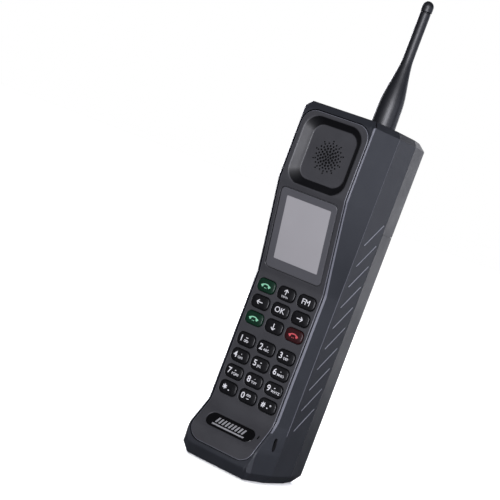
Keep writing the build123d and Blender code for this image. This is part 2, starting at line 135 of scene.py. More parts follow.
class KeySettings(bpy.types.PropertyGroup):
    """Sizes of the keys and their printed signs."""
    wide: size("Key width", "Width of a key cap", 11.0)
    tall: size("Key height", "Height of a key cap", 7.0)
    corner: size("Key corner", "Corner radius of a key cap", 2.6)
    gap: size("Key gap", "Gap between a key and its hole", 0.25)
    proud: size("Key rise", "How far a key stands out of the cover", 0.9)
    flange: size("Flange", "How far a key's flange reaches under the cover", 0.6)
    edge: size("Key edge", "Radius of a key's top edge", 0.6)
    crown: size("Key crown", "Height of the domed top above its edge", 0.16)
    ink: size("Ink", "Thickness of the printed signs", 0.03)
    digit: size("Digit size", "Type size of the digits", 4.7)
    letter: size("Letter size", "Type size of the small letters", 1.85)


class DisplaySettings(bpy.types.PropertyGroup):
    """Sizes of the display window, the ear dish and the badge, measured along the cover."""
    window_low: size("Window start", "Start of the window above the slope's foot", 3.1)
    window_high: size("Window end", "End of the window above the slope's foot", 48.5)
    window_wide: size("Window width", "Width of the window's step", 36.3)
    window_side: size("Window shift", "How far the window sits to the left of the middle", 0.5)
    window_corner: size("Window corner", "Corner radius of the window", 3.0)
    window_recess: size("Window step", "Depth of the window's step", 1.1)
    sight_wide: size("Sight width", "Width of the opening behind the window", 31.0)
    sight_tall: size("Sight height", "Height of the opening behind the window", 38.0)
    panel_wide: size("Panel width", "Width of the active area", 28.03)
    panel_tall: size("Panel height", "Height of the active area", 35.04)
    panel_mid: size("Panel middle", "Middle of the active area above the slope's foot", 26.72)
    ear_wide: size("Ear rim width", "Width of the ear dish at its rim", 35.8)
    ear_tall: size("Ear rim height", "Height of the ear dish at its rim", 38.2)
    ear_drop: size("Ear rim drop", "How far the rim's middle lies below the floor's", 0.35)
    ear_side: size("Ear rim shift", "How far the rim's middle lies beside the floor's", 0.3)
    ear_corner: size("Ear rim corner", "Corner radius of the rim", 8.5)
    ear_floor_wide: size("Ear floor width", "Width of the dish at its floor", 26.8)
    ear_floor_tall: size("Ear floor height", "Height of the dish at its floor", 29.7)
    ear_floor_corner: size("Ear floor corner", "Corner radius of the floor", 6.0)
    ear_depth: size("Ear depth", "Depth of the dish", 4.0)
    ear_wall: size("Ear wall", "Thickness of the dish", 1.2)
    badge_recess: size("Badge recess", "Depth of the recess for the badge", 0.9)


class AntennaSettings(bpy.types.PropertyGroup):
    """Sizes of the antenna."""
    neck: size("Neck height", "Height above the case where the thin part starts", 38.0)
    thin: size("Thin radius", "Radius of the thin part", 2.95)


class FinishSettings(bpy.types.PropertyGroup):
    """Colours of the finishes, as sRGB hex values."""
    case: colour("Case", "Spark-eroded ABS of the case", "#2d2f34")
    cover: colour("Cover", "Satin ABS of the front cover", "#3d3d40")
    key: colour("Key", "Polished acrylic of the black keys", "#0c0c0f")
    key_green: colour("Green key", "Polished acrylic of the call keys", "#05291a")
    key_red: colour("Red key", "Polished acrylic of the end key", "#2c080c")
    ink: colour("Ink", "White print on the keys", "#e8e8ea")
    ink_green: colour("Green ink", "Pale green print on the call keys", "#8fd6b0")
    ink_red: colour("Red ink", "Pink print on the end key", "#d0555c")
    panel: colour("Panel", "Resting liquid crystal panel", "#aaa8aa")
    border: colour("Border", "Printed border of the display window", "#5a5a5e")
    rubber: colour("Rubber", "Moulded rubber of the antenna", "#1d1e22")
    silver: colour("Silver", "Foil on the badge", "#c9c9cc")
    # edge is a painted highlight: a lighter tone laid along the case rim, the front side ridge and the
    # cover's edge
    edge: colour("Edge", "Painted highlight along the edges", "#6c6d75")
    # polished is painted shade: a near-black laid on the ear dish walls, the cover groove, the hole walls and
    # the charging slot
    polished: colour("Shade black", "Black painted shade in the dish, the grooves and the openings", "#0d0d10")
    lacquer: colour("Lacquer", "Lacquered aluminium of the badge", "#0b0b0d")
    # rib is a painted highlight: the grip ribs are coloured light grey to stand for their glint
    rib: colour("Rib", "Painted highlight on the grip ribs", "#a6a7b0")
    floor: colour("Floor", "Painted floor", "#f4f4f4")


class StageSettings(bpy.types.PropertyGroup):
    """Camera."""
    lens: bpy.props.FloatProperty(name="Lens", description="Focal length in millimetres", default=108.87)
    camera: bpy.props.FloatVectorProperty(name="Camera", description="Place of the camera",
                                          default=(0.3866, -0.7186, 0.1506), unit="LENGTH")
    forward: bpy.props.FloatVectorProperty(name="Forward", description="Viewing direction",
                                           default=(-0.5103, 0.8587, -0.0467))
    up: bpy.props.FloatVectorProperty(name="Up", description="Direction of the picture's top",
                                      default=(-0.3255, -0.1427, 0.9347))


# Surfaces ----------------------------------------------------------------------------------------

class FrontLine:
    """Side view of the front: a broken line whose bends are arcs, read by its own length.

    Each stretch has one curvature, nought on the straights. A point that lies s along a stretch is
    its start plus the chord s * sin(ks/2) / (ks/2), laid at the start angle plus ks/2.
    """

    def __init__(self, corners, radii):
        corners = np.asarray(corners, float)
        runs = np.diff(corners, axis=0)
        lengths = np.linalg.norm(runs, axis=1)
        angles = np.arctan2(runs[:, 1], runs[:, 0])
        turns = np.diff(angles)
        cuts = np.asarray(radii) * np.tan(np.abs(turns) / 2)
        straights = lengths - np.r_[0, cuts] - np.r_[cuts, 0]
        spans = np.empty(len(straights) + len(turns))
        spans[0::2], spans[1::2] = straights, np.asarray(radii) * np.abs(turns)
        bends = np.zeros_like(spans)
        bends[1::2] = np.sign(turns) / np.asarray(radii)
        self.length = np.r_[0, np.cumsum(spans)]
        along = np.unique(np.r_[np.linspace(0, self.length[-1], 1200), self.length,
                                np.concatenate([np.linspace(a, b, 25) for a, b in
                                                zip(self.length[1:-1:2], self.length[2::2])])])
        stretch = np.clip(np.searchsorted(self.length, along, side="right") - 1, 0, len(spans) - 1)
        start_angle = angles[0] + np.r_[0, np.cumsum(bends * spans)][:-1]
        chords = spans * np.sinc(bends * spans / 2 / np.pi)
        mid = start_angle + bends * spans / 2
        steps = np.stack([chords * np.cos(mid), chords * np.sin(mid)], axis=1)
        starts = corners[0] + np.r_[np.zeros((1, 2)), np.cumsum(steps, axis=0)][:-1]
        s = along - self.length[stretch]
        k = bends[stretch]
        aim = start_angle[stretch] + k * s / 2
        chord = s * np.sinc(k * s / 2 / np.pi)
        self.t = along
        self.y = starts[stretch, 0] + chord * np.cos(aim)
        self.z = starts[stretch, 1] + chord * np.sin(aim)
        self.angle = start_angle[stretch] + k * s

    def t_at(self, z):
        """Length along the line at a height."""
        return np.interp(z, self.z, self.t)

    def y_at(self, z):
        """Reach of the line at a height."""
        return np.interp(z, self.z, self.y)

    def place(self, x, t, depth=0.0):
        """Point at x across, t along the line and depth square below the surface."""
        angle = np.interp(t, self.t, self.angle)
        y = np.interp(t, self.t, self.y) + depth * np.sin(angle)
        z = np.interp(t, self.t, self.z) - depth * np.cos(angle)
        return np.stack(np.broadcast_arrays(x, y, z), axis=-1)


def front_line(case):
    """The front's line from below the toe to above the crown."""
    corners = [(-case.toe_y + 7 * MM, case.toe_z - 11 * MM), (-case.toe_y, case.toe_z),
               (-case.lip_y, case.lip_z), (-case.keypad_y, case.chin_top),
               (-case.keypad_y, case.hinge_z), (-case.head_y, case.brow_z),
               (-case.head_y, case.crown_z), (-case.head_y + 6.6 * MM, case.crown_z + 9.6 * MM)]
    return FrontLine(corners, np.array([1.0, 8.0, 12.0, 8.0, 3.5, 1.0]) * MM)


def rounded(corners, radii, steps):
    """Closed outlines with every corner swapped for an arc.

    The arc's centre lies on the corner's bisector, radius / sin(half the inside angle) away, and
    its points run from the side before the corner to the side after it.
    """
    back = np.roll(corners, 1, axis=-2) - corners
    ahead = np.roll(corners, -1, axis=-2) - corners
    back = back / np.linalg.norm(back, axis=-1, keepdims=True)
    ahead = ahead / np.linalg.norm(ahead, axis=-1, keepdims=True)
    half = np.arccos(np.clip((back * ahead).sum(-1), -1, 1)) / 2
    inward = back + ahead + 1e-12
    inward = inward / np.linalg.norm(inward, axis=-1, keepdims=True)
    across = ahead - back
    across = across / np.linalg.norm(across, axis=-1, keepdims=True)
    radii = np.broadcast_to(radii, half.shape)
    centre = corners + inward * (radii / np.sin(half))[..., None]
    sweep = (np.pi / 2 - half)[..., None] * np.linspace(-1, 1, steps + 1)
    reach = radii[..., None, None]
    points = (centre[..., None, :] - inward[..., None, :] * reach * np.cos(sweep)[..., None]
              + across[..., None, :] * reach * np.sin(sweep)[..., None])
    return points.reshape(*corners.shape[:-2], -1, 2)


def rounded_loop(width, height, radius, across, up, arc=3, middle=(0.0, 0.0)):
    """Rounded rectangle, anticlockwise from the middle of its lower left corner.

    Each side holds half of the arc before it, its straight and half of the arc after it.
    """
    half = np.array([width / 2 - radius, height / 2 - radius])
    points = []
    for side, count in enumerate((across, up, across, up)):
        turn = side * np.pi / 2
        spin = np.array([[np.cos(turn), np.sin(turn)], [-np.sin(turn), np.cos(turn)]])
        reach = half if side % 2 == 0 else half[::-1]
        first = np.linspace(-0.25, 0, arc + 1)[:-1] * np.pi
        last = np.linspace(0, 0.25, arc + 1)[:-1] * np.pi
        run = np.linspace(-1, 1, count - 2 * arc + 1)[:-1]
        local = np.concatenate([
            np.stack([-reach[0] + radius * np.sin(first), -reach[1] - radius * np.cos(first)], 1),
            np.stack([reach[0] * run, np.full(len(run), -reach[1] - radius)], 1),
            np.stack([reach[0] + radius * np.sin(last), -reach[1] - radius * np.cos(last)], 1)])
        points.append(local @ spin)
    return np.concatenate(points) + np.asarray(middle)


def blend_loops(outer, inner, steps):
    """Loops that pass from one closed outline to another with the same number of points."""
    share = np.linspace(0, 1, steps + 1)[:, None, None]
    return outer * (1 - share) + inner * share


class Skin:
    """Grids of points and their quads, gathered before they become one mesh."""

    def __init__(self):
        self.points, self.quads, self.count = [], [], 0

    def grid(self, points, closed=False, keep=None):
        """Adds a grid of rows; closed joins the last column to the first; keep drops some quads."""
        rows, columns = points.shape[:2]
        index = self.count + np.arange(rows * columns).reshape(rows, columns)
        if closed:
            index = np.concatenate([index, index[:, :1]], axis=1)
        quads = np.stack([index[:-1, :-1], index[:-1, 1:], index[1:, 1:], index[1:, :-1]], axis=-1)
        quads = quads if keep is None else quads[keep]
        self.points.append(points.reshape(-1, 3))
        self.quads.append(quads.reshape(-1, 4))
        self.count += rows * columns

    def mesh(self, name, facing=None, weld=2e-6):
        """One welded mesh; an open skin is turned so that it faces the given direction."""
        mesh = bpy.data.meshes.new(name)
        mesh.from_pydata(np.concatenate(self.points), [], np.concatenate(self.quads))
        work = bmesh.new()
        work.from_mesh(mesh)
        bmesh.ops.remove_doubles(work, verts=work.verts, dist=weld)
        bmesh.ops.dissolve_degenerate(work, edges=work.edges, dist=weld)
        bmesh.ops.recalc_face_normals(work, faces=work.faces)
        if facing is not None:
            turned = sum((face.normal * face.calc_area() for face in work.faces), Vector())
            if turned.dot(Vector(facing)) < 0:
                bmesh.ops.reverse_faces(work, faces=work.faces)
        work.to_mesh(mesh)
        work.free()
        return mesh


def new_piece(mesh):
    """A linked object for a mesh, at the origin."""
    piece = bpy.data.objects.new(mesh.name, mesh)
    bpy.context.scene.collection.objects.link(piece)
    return piece


def closed_piece(name, points):
    """A linked object whose skin is one grid of closed loops."""
    skin = Skin()
    skin.grid(points, True)
    return new_piece(skin.mesh(name))


def modifier(piece, kind, **settings):
    """Adds one modifier with its settings."""
    added = piece.modifiers.new(kind.lower(), kind)
    for key, value in settings.items():
        setattr(added, key, value)


def apply_modifiers(piece):
    """Swaps a piece's mesh for what its modifiers make of it."""
    made = bpy.data.meshes.new_from_object(piece.evaluated_get(bpy.context.evaluated_depsgraph_get()))
    piece.modifiers.clear()
    old, piece.data = piece.data, made
    made.name = piece.name
    bpy.data.meshes.remove(old)


def smooth(piece, degrees=32.0):
    """Shades a piece smooth, except over edges sharper than the given angle."""
    piece.data.shade_smooth()
    piece.data.set_sharp_from_angle(angle=math.radians(degrees))
    modifier(piece, "WEIGHTED_NORMAL", keep_sharp=True, weight=80)
    apply_modifiers(piece)


def cut(piece, cutter):
    """Takes a closed cutter's shape out of a piece."""
    modifier(piece, "BOOLEAN", operation="DIFFERENCE", solver="EXACT", object=cutter,
             use_hole_tolerant=False)
    bpy.context.view_layer.update()
    apply_modifiers(piece)
    mesh = cutter.data
    bpy.data.objects.remove(cutter)
    bpy.data.meshes.remove(mesh)


def settle(piece, body, slot, material, *nodes):
    """Gives a finished piece its material, hides the frame nodes it stands for and hangs it on its body; the
    slot is not used.
    """
    piece.data.materials.clear()
    piece.data.materials.append(material)
    if nodes:
        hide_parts(*nodes)
    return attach(piece, body)


def paint(piece, material, choose):
    """Gives the chosen faces a second material; choose reads the faces' middles and normals."""
    faces = piece.data.polygons
    middles, normals = np.empty(len(faces) * 3, np.float32), np.empty(len(faces) * 3, np.float32)
    faces.foreach_get("center", middles)
    faces.foreach_get("normal", normals)
    index = np.empty(len(faces), np.int32)
    faces.foreach_get("material_index", index)
    piece.data.materials.append(material)
    index[choose(middles.reshape(-1, 3), normals.reshape(-1, 3))] = len(piece.data.materials) - 1
    faces.foreach_set("material_index", index)


# Case --------------------------------------------------------------------------------------------

GRIP_COUNT, GRIP_STEP = 10, 11.74 * MM
GRIP_Y, GRIP_LOWEST = 4.2 * MM, 37.8 * MM
GRIP_LENGTH, GRIP_WIDTH, GRIP_DEPTH = 19.8 * MM, 0.9 * MM, 0.35 * MM
RIB_LENGTH, RIB_WIDTH, RIB_DEPTH, RIB_SINK = 19.2 * MM, 0.62 * MM, 0.18 * MM, 0.19 * MM
SLOT_LENGTH, SLOT_WIDTH, SLOT_DEPTH, SLOT_STEP = 17 * MM, 1.3 * MM, 3 * MM, 3.6 * MM
PORT_LENGTH, PORT_WIDTH, PORT_DEPTH = 7.3 * MM, 2.2 * MM, 6 * MM


def end_rows(case, low):
    """Inset and height of the rows round one end: flat, rounded edge, chamfer, rounded edge, wall."""
    z, way = (CASE_LOW[2], 1) if low else (CASE_HIGH[2], -1)
    inset, rise = (case.edge_inset, case.edge_rise) if low else (case.top_inset, case.top_rise)
    corners = np.array([(3 * inset, z), (inset, z), (0, z + way * rise), (0, z + 3 * way * rise),
                        (-inset, z + way * rise), (-inset, z - way * rise)])
    arcs = rounded(corners, case.edge_round, 4).reshape(6, 5, 2)[1:3].reshape(-1, 2)
    return arcs if low else arcs[::-1]


def wall_heights(case, line):
    """Heights of the rows up the wall, close together where the front bends or a corner turns."""
    bends = [np.interp(np.linspace(a, b, 7), line.t, line.z)
             for a, b in zip(line.length[1:-1:2], line.length[2::2])]
    corner = (case.cover_corner + case.groove) * (1 - np.cos(np.linspace(0.3, np.pi / 2, 5)))
    low = COVER_LOW[2] - case.groove + corner
    high = COVER_HIGH[2] + case.groove - corner
    even = np.linspace(CASE_LOW[2] + 8 * MM, CASE_HIGH[2] - 8 * MM, 36)
    z = np.sort(np.concatenate([*bends, low, high, even]))
    floor = CASE_LOW[2] + case.edge_rise + 1.5 * MM
    top = CASE_HIGH[2] - case.edge_rise - 1.5 * MM
    z = z[(z > floor) & (z < top) & (np.abs(z - case.bay_top) > 0.6 * MM)]
    z = z[np.r_[True, np.diff(z) > 0.25 * MM]]
    return z[z < case.bay_top], z[z > case.bay_top]


def case_corners(case, line, z, inset, bay, wall):
    """Right-hand corners of the case at each height: front, rim, two ridges, back.

    The side between rim and front ridge is the straight line from a rim that stands before the
    front's corners to the ridge, met where the front surface crosses it. The rim is broken at 45
    degrees, and down the chin the break grows into a flat.
    """
    top = CASE_HIGH[2]
    levels = np.array([CASE_LOW[2], case.edge_rise, case.lip_z, case.chin_top, case.hinge_z,
                       case.brow_z, top - case.top_rise, top])
    reach = case.rim_reach - np.array([-24.0 * MM, -case.toe_y, -case.lip_y, -case.keypad_y,
                                       -case.keypad_y, -case.head_y, -case.head_y, -28.0 * MM])
    half = np.array([case.rim_half] * 3 + [case.grip_half] * 2 + [case.rim_half] * 3)
    high = z > case.hinge_z
    share = inset / np.where(high, case.top_inset, case.edge_inset)
    ridge_x = CASE_HIGH[0] - wall
    slant = ((CASE_HIGH[0] - np.interp(z, levels, half))
             / (np.interp(z, levels, reach) - case.ridge_front))
    front_y = line.y_at(z) + wall * 1.2
    front_x = ridge_x - slant * (-case.ridge_front - front_y) - inset
    excess = front_x - front_y - case.corner_lean * z - case.corner_cut + 2 * wall
    broken = np.maximum(excess, case.rim_break)
    step = broken / (1 - slant)
    deep = np.where(high, case.top_back_inset, case.edge_inset) * share
    divider = np.full_like(z, case.ridge_rear - 0.8 * wall)
    return np.stack([
        np.stack([front_x - broken, front_y], -1),
        np.stack([front_x + slant * step, front_y + step], -1),
        np.stack([ridge_x - inset, np.full_like(z, -case.ridge_front)], -1),
        np.stack([ridge_x - inset, np.where(bay, divider, case.ridge_rear)], -1),
        np.stack([np.where(bay, BACK_HIGH[0] / 2, case.back_half - wall - inset),
                  np.where(bay, divider + 0.001 * MM, CASE_HIGH[1] - wall - deep)], -1),
    ], axis=1)


def case_skin(case, line, wall):
    """Rows of closed outlines up the case, and the loop of the front opening.

    Rows climb from the middle of the base, over its chamfer, up the wall, over the shelf above the
    battery bay and to the middle of the top. The front between the rims is a second grid of loops
    that shrink from the case's outline to the rounded opening.
    """
    low_wall, high_wall = wall_heights(case, line)
    low_end, high_end = end_rows(case, True), end_rows(case, False)
    shelf = [case.bay_top - 0.3 * MM, case.bay_top, case.bay_top, case.bay_top + 0.3 * MM]
    z = np.concatenate([low_end[:, 1], low_wall, shelf, high_wall, high_end[:, 1]])
    inset = np.concatenate([low_end[:, 0], 0 * low_wall, [0] * 4, 0 * high_wall, high_end[:, 0]])
    bay = np.arange(len(z)) < len(low_end) + len(low_wall) + 2
    inner_z = np.interp(z, [CASE_LOW[2], case.bay_top, CASE_HIGH[2]],
                        [CASE_LOW[2] + wall, case.bay_top + wall * 0.8, CASE_HIGH[2] - wall])
    right = case_corners(case, line, inner_z, inset, bay, wall)
    corners = np.concatenate([right, right[:, ::-1] * (-1, 1)], axis=1)
    ridge = np.full(len(z), case.ridge_round)
    tight = np.where(bay, 0.3 * MM, case.ridge_round)
    blunt = np.where(bay, 0.01 * MM, case.ridge_round)
    edge = np.full(len(z), 0.3 * MM)
    radii = np.stack([edge * 0.5, edge, ridge, tight, blunt], axis=1)
    outline = rounded(corners, np.concatenate([radii, radii[:, ::-1]], axis=1), 4)
    sides = outline.shape[1]
    share = np.linspace(0, 1, 27)[1:-1, None]
    front = outline[:, None, -1] * (1 - share) + outline[:, None, 0] * share
    plan = np.concatenate([outline, front], axis=1)
    rows = np.concatenate([plan, np.repeat(inner_z[:, None, None], plan.shape[1], 1)], axis=2)
    shrink = np.array([0.0, 0.4, 0.8])[:, None, None]
    rows = np.concatenate([cap(rows[0], shrink), rows, cap(rows[-1], shrink)[::-1]])
    flat = len(shrink)
    keep = np.ones((len(rows) - 1, rows.shape[1]), bool)
    keep[flat:-flat, sides - 1:] = False
    wall_rows = rows[flat:-flat]
    rim = np.concatenate([wall_rows[:, 0], wall_rows[-1, sides:][::-1],
                          wall_rows[::-1, sides - 1], wall_rows[0, sides:]])
    opening = opening_loop(case, rim, wall)
    loops = blend_loops(rim[:, [0, 2]], opening, 14)
    y = line.y_at(loops[..., 1]) + wall * 1.2
    loops = np.stack([loops[..., 0], y, loops[..., 1]], axis=-1)
    loops[0] = rim
    return rows, keep, loops


def cap(row, shrink):
    """Copies of an end outline drawn in towards its middle, smallest first."""
    centre = np.array([0, 0, row[0, 2]])
    return centre + (row - centre) * shrink


def opening_loop(case, rim, wall):
    """Point of the rounded opening that belongs to each point of the rim.

    On the straights the point keeps its height or its place across. Towards a corner both outlines
    run to its diagonal, the opening along its arc.
    """
    extra = case.groove - wall * 0.85
    half = COVER_HIGH[0] + extra
    radius = case.cover_corner + extra
    low, high = COVER_LOW[2] - extra, COVER_HIGH[2] + extra
    x, z = rim[:, 0], rim[:, 2]
    middle = (low + high) / 2
    straight_x, straight_z = half - radius, (high - low) / 2 - radius
    far_z = np.where(z > middle, rim[:, 2].max() - middle, middle - rim[:, 2].min())
    far_x = np.where(z > middle, x[z == z.max()].max(), x[z == z.min()].max())
    on_side = (z < z.max()) & (z > z.min())
    over_z = np.clip((np.abs(z - middle) - straight_z) / (far_z - straight_z), 0, 1)
    over_x = np.clip((np.abs(x) - straight_x) / (far_x - straight_x), 0, 1)
    angle = np.where(on_side, over_z * np.pi / 4, np.pi / 2 - over_x * np.pi / 4)
    across = np.where(on_side | (over_x > 0), straight_x + radius * np.cos(angle), np.abs(x))
    up = np.where(on_side & (over_z == 0), np.abs(z - middle), straight_z + radius * np.sin(angle))
    return np.stack([np.sign(x) * across, middle + np.sign(z - middle) * up], axis=-1)


def slot_cutter(middle, along, across, length, width, depth, ends=6):
    """Closed prism of a round-ended slot: half circles of the given width, a length apart."""
    along, across = np.array(along, float), np.array(across, float)
    turn = np.linspace(-np.pi / 2, np.pi / 2, ends + 1)
    half = (length - width) / 2
    outline = np.concatenate([
        np.stack([half + width / 2 * np.cos(turn), width / 2 * np.sin(turn)], 1),
        np.stack([-half - width / 2 * np.cos(turn), -width / 2 * np.sin(turn)], 1)])
    flat = outline[:, :1] * along + outline[:, 1:] * across
    push = np.array(depth, float)
    loops = np.stack([flat * 0, flat, flat, flat * 0]) + np.array([-1, -1, 1, 1])[:, None, None] * push
    return loops + np.array(middle)


def add_grips(skin, length, width, depth, sink):
    """Adds a slot for each slanting grip line of both sides, sunk below the side ridge."""
    slant = np.array([0, 1, 1]) / math.sqrt(2)
    for side in (-1, 1):
        for number in range(GRIP_COUNT):
            middle = (side * (CASE_HIGH[0] - sink), GRIP_Y, GRIP_LOWEST + number * GRIP_STEP)
            skin.grid(slot_cutter(middle, slant, (0, -slant[2], slant[1]), length, width,
                                  (depth, 0, 0)), True)


def build_case(context):
    """Case shell: outer and inner skin joined through the front opening, with its cuts."""
    case = context.scene.phone_case
    line = front_line(case)
    skin = Skin()
    rows, keep, loops = case_skin(case, line, 0.0)
    inner_rows, inner_keep, inner_loops = case_skin(case, line, case.wall)
    skin.grid(rows, True, keep)
    skin.grid(loops, True)
    mouth = loops[-1]
    depth = case.cover_thick
    t = line.t_at(mouth[:, 2])
    walls = [mouth, *(line.place(mouth[:, 0], t, d) for d in (0.3 * MM, depth)), inner_loops[-1]]
    skin.grid(np.stack(walls), True)
    skin.grid(inner_rows, True, inner_keep)
    skin.grid(inner_loops, True)
    piece = new_piece(skin.mesh("case_shell"))
    slots = Skin()
    add_grips(slots, GRIP_LENGTH, GRIP_WIDTH, GRIP_DEPTH, 0.0)
    middle = (SPEAKER_LOW + SPEAKER_HIGH) / 2
    for number in range(-2, 3):
        place = (0, CASE_HIGH[1], middle[2] + number * SLOT_STEP)
        slots.grid(slot_cutter(place, (1, 0, 0), (0, 0, 1), SLOT_LENGTH, SLOT_WIDTH,
                               (0, SLOT_DEPTH, 0)), True)
    port = (SOCKET_LOW + SOCKET_HIGH) / 2
    place = (CASE_HIGH[0], port[1], port[2])
    slots.grid(slot_cutter(place, (0, 0, 1), (0, 1, 0), PORT_LENGTH, PORT_WIDTH,
                           (PORT_DEPTH, 0, 0)), True)
    cut(piece, new_piece(slots.mesh("cutter")))
    smooth(piece)
    settle(piece, "housing", "case_plastic", material_case(context), "rear_shell")

    # Painted highlight: the 45 degree rim break and a thin strip on the front side ridge take the lighter
    # edge tone
    def rim_highlight_faces(middles, normals):
        across = np.abs(middles[:, 0])
        turned = (np.abs(normals[:, 0]) > 0.35) & (normals[:, 1] < -0.55) & (across > 20 * MM)
        ridge = (np.abs(middles[:, 1] + case.ridge_front) < 0.3 * MM) & (across > CASE_HIGH[0] - 0.6 * MM)
        return (turned | ridge) & (middles[:, 2] > 27 * MM)

    # Painted shade: the case walls inside the charging slot go near-black
    def port_shade_faces(middles, normals):
        around = np.abs(middles - port) < (8 * MM, 1.3 * MM, 4 * MM)
        return around.all(axis=1) & (normals[:, 0] < 0.6) & (middles[:, 0] > 0)

    # Painted shade: the case walls inside the groove round the front cover go near-black
    def groove_shade_faces(middles, normals):
        deep = middles[:, 1] - line.y_at(middles[:, 2])
        inside = np.abs(middles[:, 0]) < COVER_HIGH[0] + 1.5 * case.groove
        inside &= middles[:, 2] > COVER_LOW[2] - 1.5 * case.groove
        return inside & (deep > 0.1 * MM) & (deep < case.cover_thick) & (np.abs(normals[:, 1]) < 0.7)
    paint(piece, material_edge_highlight(context), rim_highlight_faces)
    paint(piece, material_shade_black(context), port_shade_faces)
    paint(piece, material_shade_black(context), groove_shade_faces)


def build_grips(context):
    """Ribs inlaid flush in the middle of the grip grooves, bright with a painted highlight."""
    skin = Skin()
    add_grips(skin, RIB_LENGTH, RIB_WIDTH, RIB_DEPTH, RIB_SINK)
    piece = new_piece(skin.mesh("grip_ribs"))
    smooth(piece)
    settle(piece, "housing", "steel", material_rib_highlight(context))


def build_battery_cover(context):
    """Tray over the battery bay: outlines down the back, round the base chamfer and under the base.

    A tongue drawn in from the outside closes the seam above the tray.
    """
    case = context.scene.phone_case
    front = case.ridge_rear + case.seam
    arcs = end_rows(case, True)[::-1]
    z = np.concatenate([[case.bay_top - 0.03 * MM, case.bay_top - case.seam, case.bay_top - case.seam,
                         case.bay_top - case.seam - 1 * MM],
                        np.linspace(case.bay_top - 6 * MM, 12 * MM, 12), arcs[:, 1]])
    inset = np.concatenate([[0.5 * MM, 0.5 * MM], np.zeros(14), arcs[:, 0]])
    fall = (CASE_HIGH[0] - case.back_half) * (front - case.ridge_rear) / (CASE_HIGH[1] - case.ridge_rear)
    side_x = CASE_HIGH[0] - fall - inset
    right = np.stack([np.stack([side_x, np.full_like(z, front)], -1),
                      np.stack([case.back_half - inset, CASE_HIGH[1] - inset], -1)], axis=1)
    corners = np.concatenate([right, right[:, ::-1] * (-1, 1)], axis=1)
    radii = np.array([0.01 * MM, case.ridge_round, case.ridge_round, 0.01 * MM])
    outline = rounded(corners, radii, 4)[:, 4:16]
    rows = np.concatenate([outline, np.repeat(z[:, None, None], outline.shape[1], 1)], axis=2)
    under = np.repeat(rows[-1:], 4, 0)
    under[..., 1] = front + (under[..., 1] - front) * np.array([0.75, 0.5, 0.25, 0.0])[:, None]
    skin = Skin()
    skin.grid(np.concatenate([rows, under]))
    piece = new_piece(skin.mesh("battery_cover_shell", facing=(0, 1, 0)))
    modifier(piece, "SOLIDIFY", thickness=case.cover_wall, offset=-1, use_even_offset=True)
    modifier(piece, "BEVEL", width=0.2 * MM, segments=2, limit_method="ANGLE",
             angle_limit=math.radians(60))
    context.view_layer.update()
    apply_modifiers(piece)
    smooth(piece)
    settle(piece, "battery_cover", "case_plastic", material_case(context), "battery_cover")


# Front cover -------------------------------------------------------------------------------------

EDGE = 0.35 * MM
EDGE_ARC = np.linspace(0, np.pi / 2, 4)
COLUMNS, ROWS = 12, 10
BADGE_WIDE, BADGE_TALL, BADGE_CORNER = 31 * MM, 8.6 * MM, 4.25 * MM
BADGE_GAP = 0.15 * MM
MIC_X, MIC_RISE = 17.6 * MM, 1.5 * MM
MIC_LENGTH, MIC_WIDTH = 2.6 * MM, 0.75 * MM
HOLE_REACH = 3 * MM
# Reach, number of holes and hole radius of each ring of sound holes, in millimetres.
SOUND_RINGS = ((1.5, 6, 0.74), (2.9, 10, 0.8), (4.4, 16, 0.72), (5.8, 20, 0.6), (7.2, 20, 0.52),
               (8.4, 10, 0.48))
SOUND_SPREAD = 1.05
SOUND_DROP = 0.6 * MM


def key_centres():
    """Heights of the key rows and places of the key columns, from the frame."""
    middles = np.array([np.mean(node_box(name), axis=0) for name in KEY_NAMES]).round(5)
    return np.unique(middles[:, 2]), np.unique(middles[:, 0])


def cell_edges(centres, first, last):
    """Edges halfway between neighbouring centres, with the two outer ones given."""
    return np.r_[first, (centres[1:] + centres[:-1]) / 2, last]


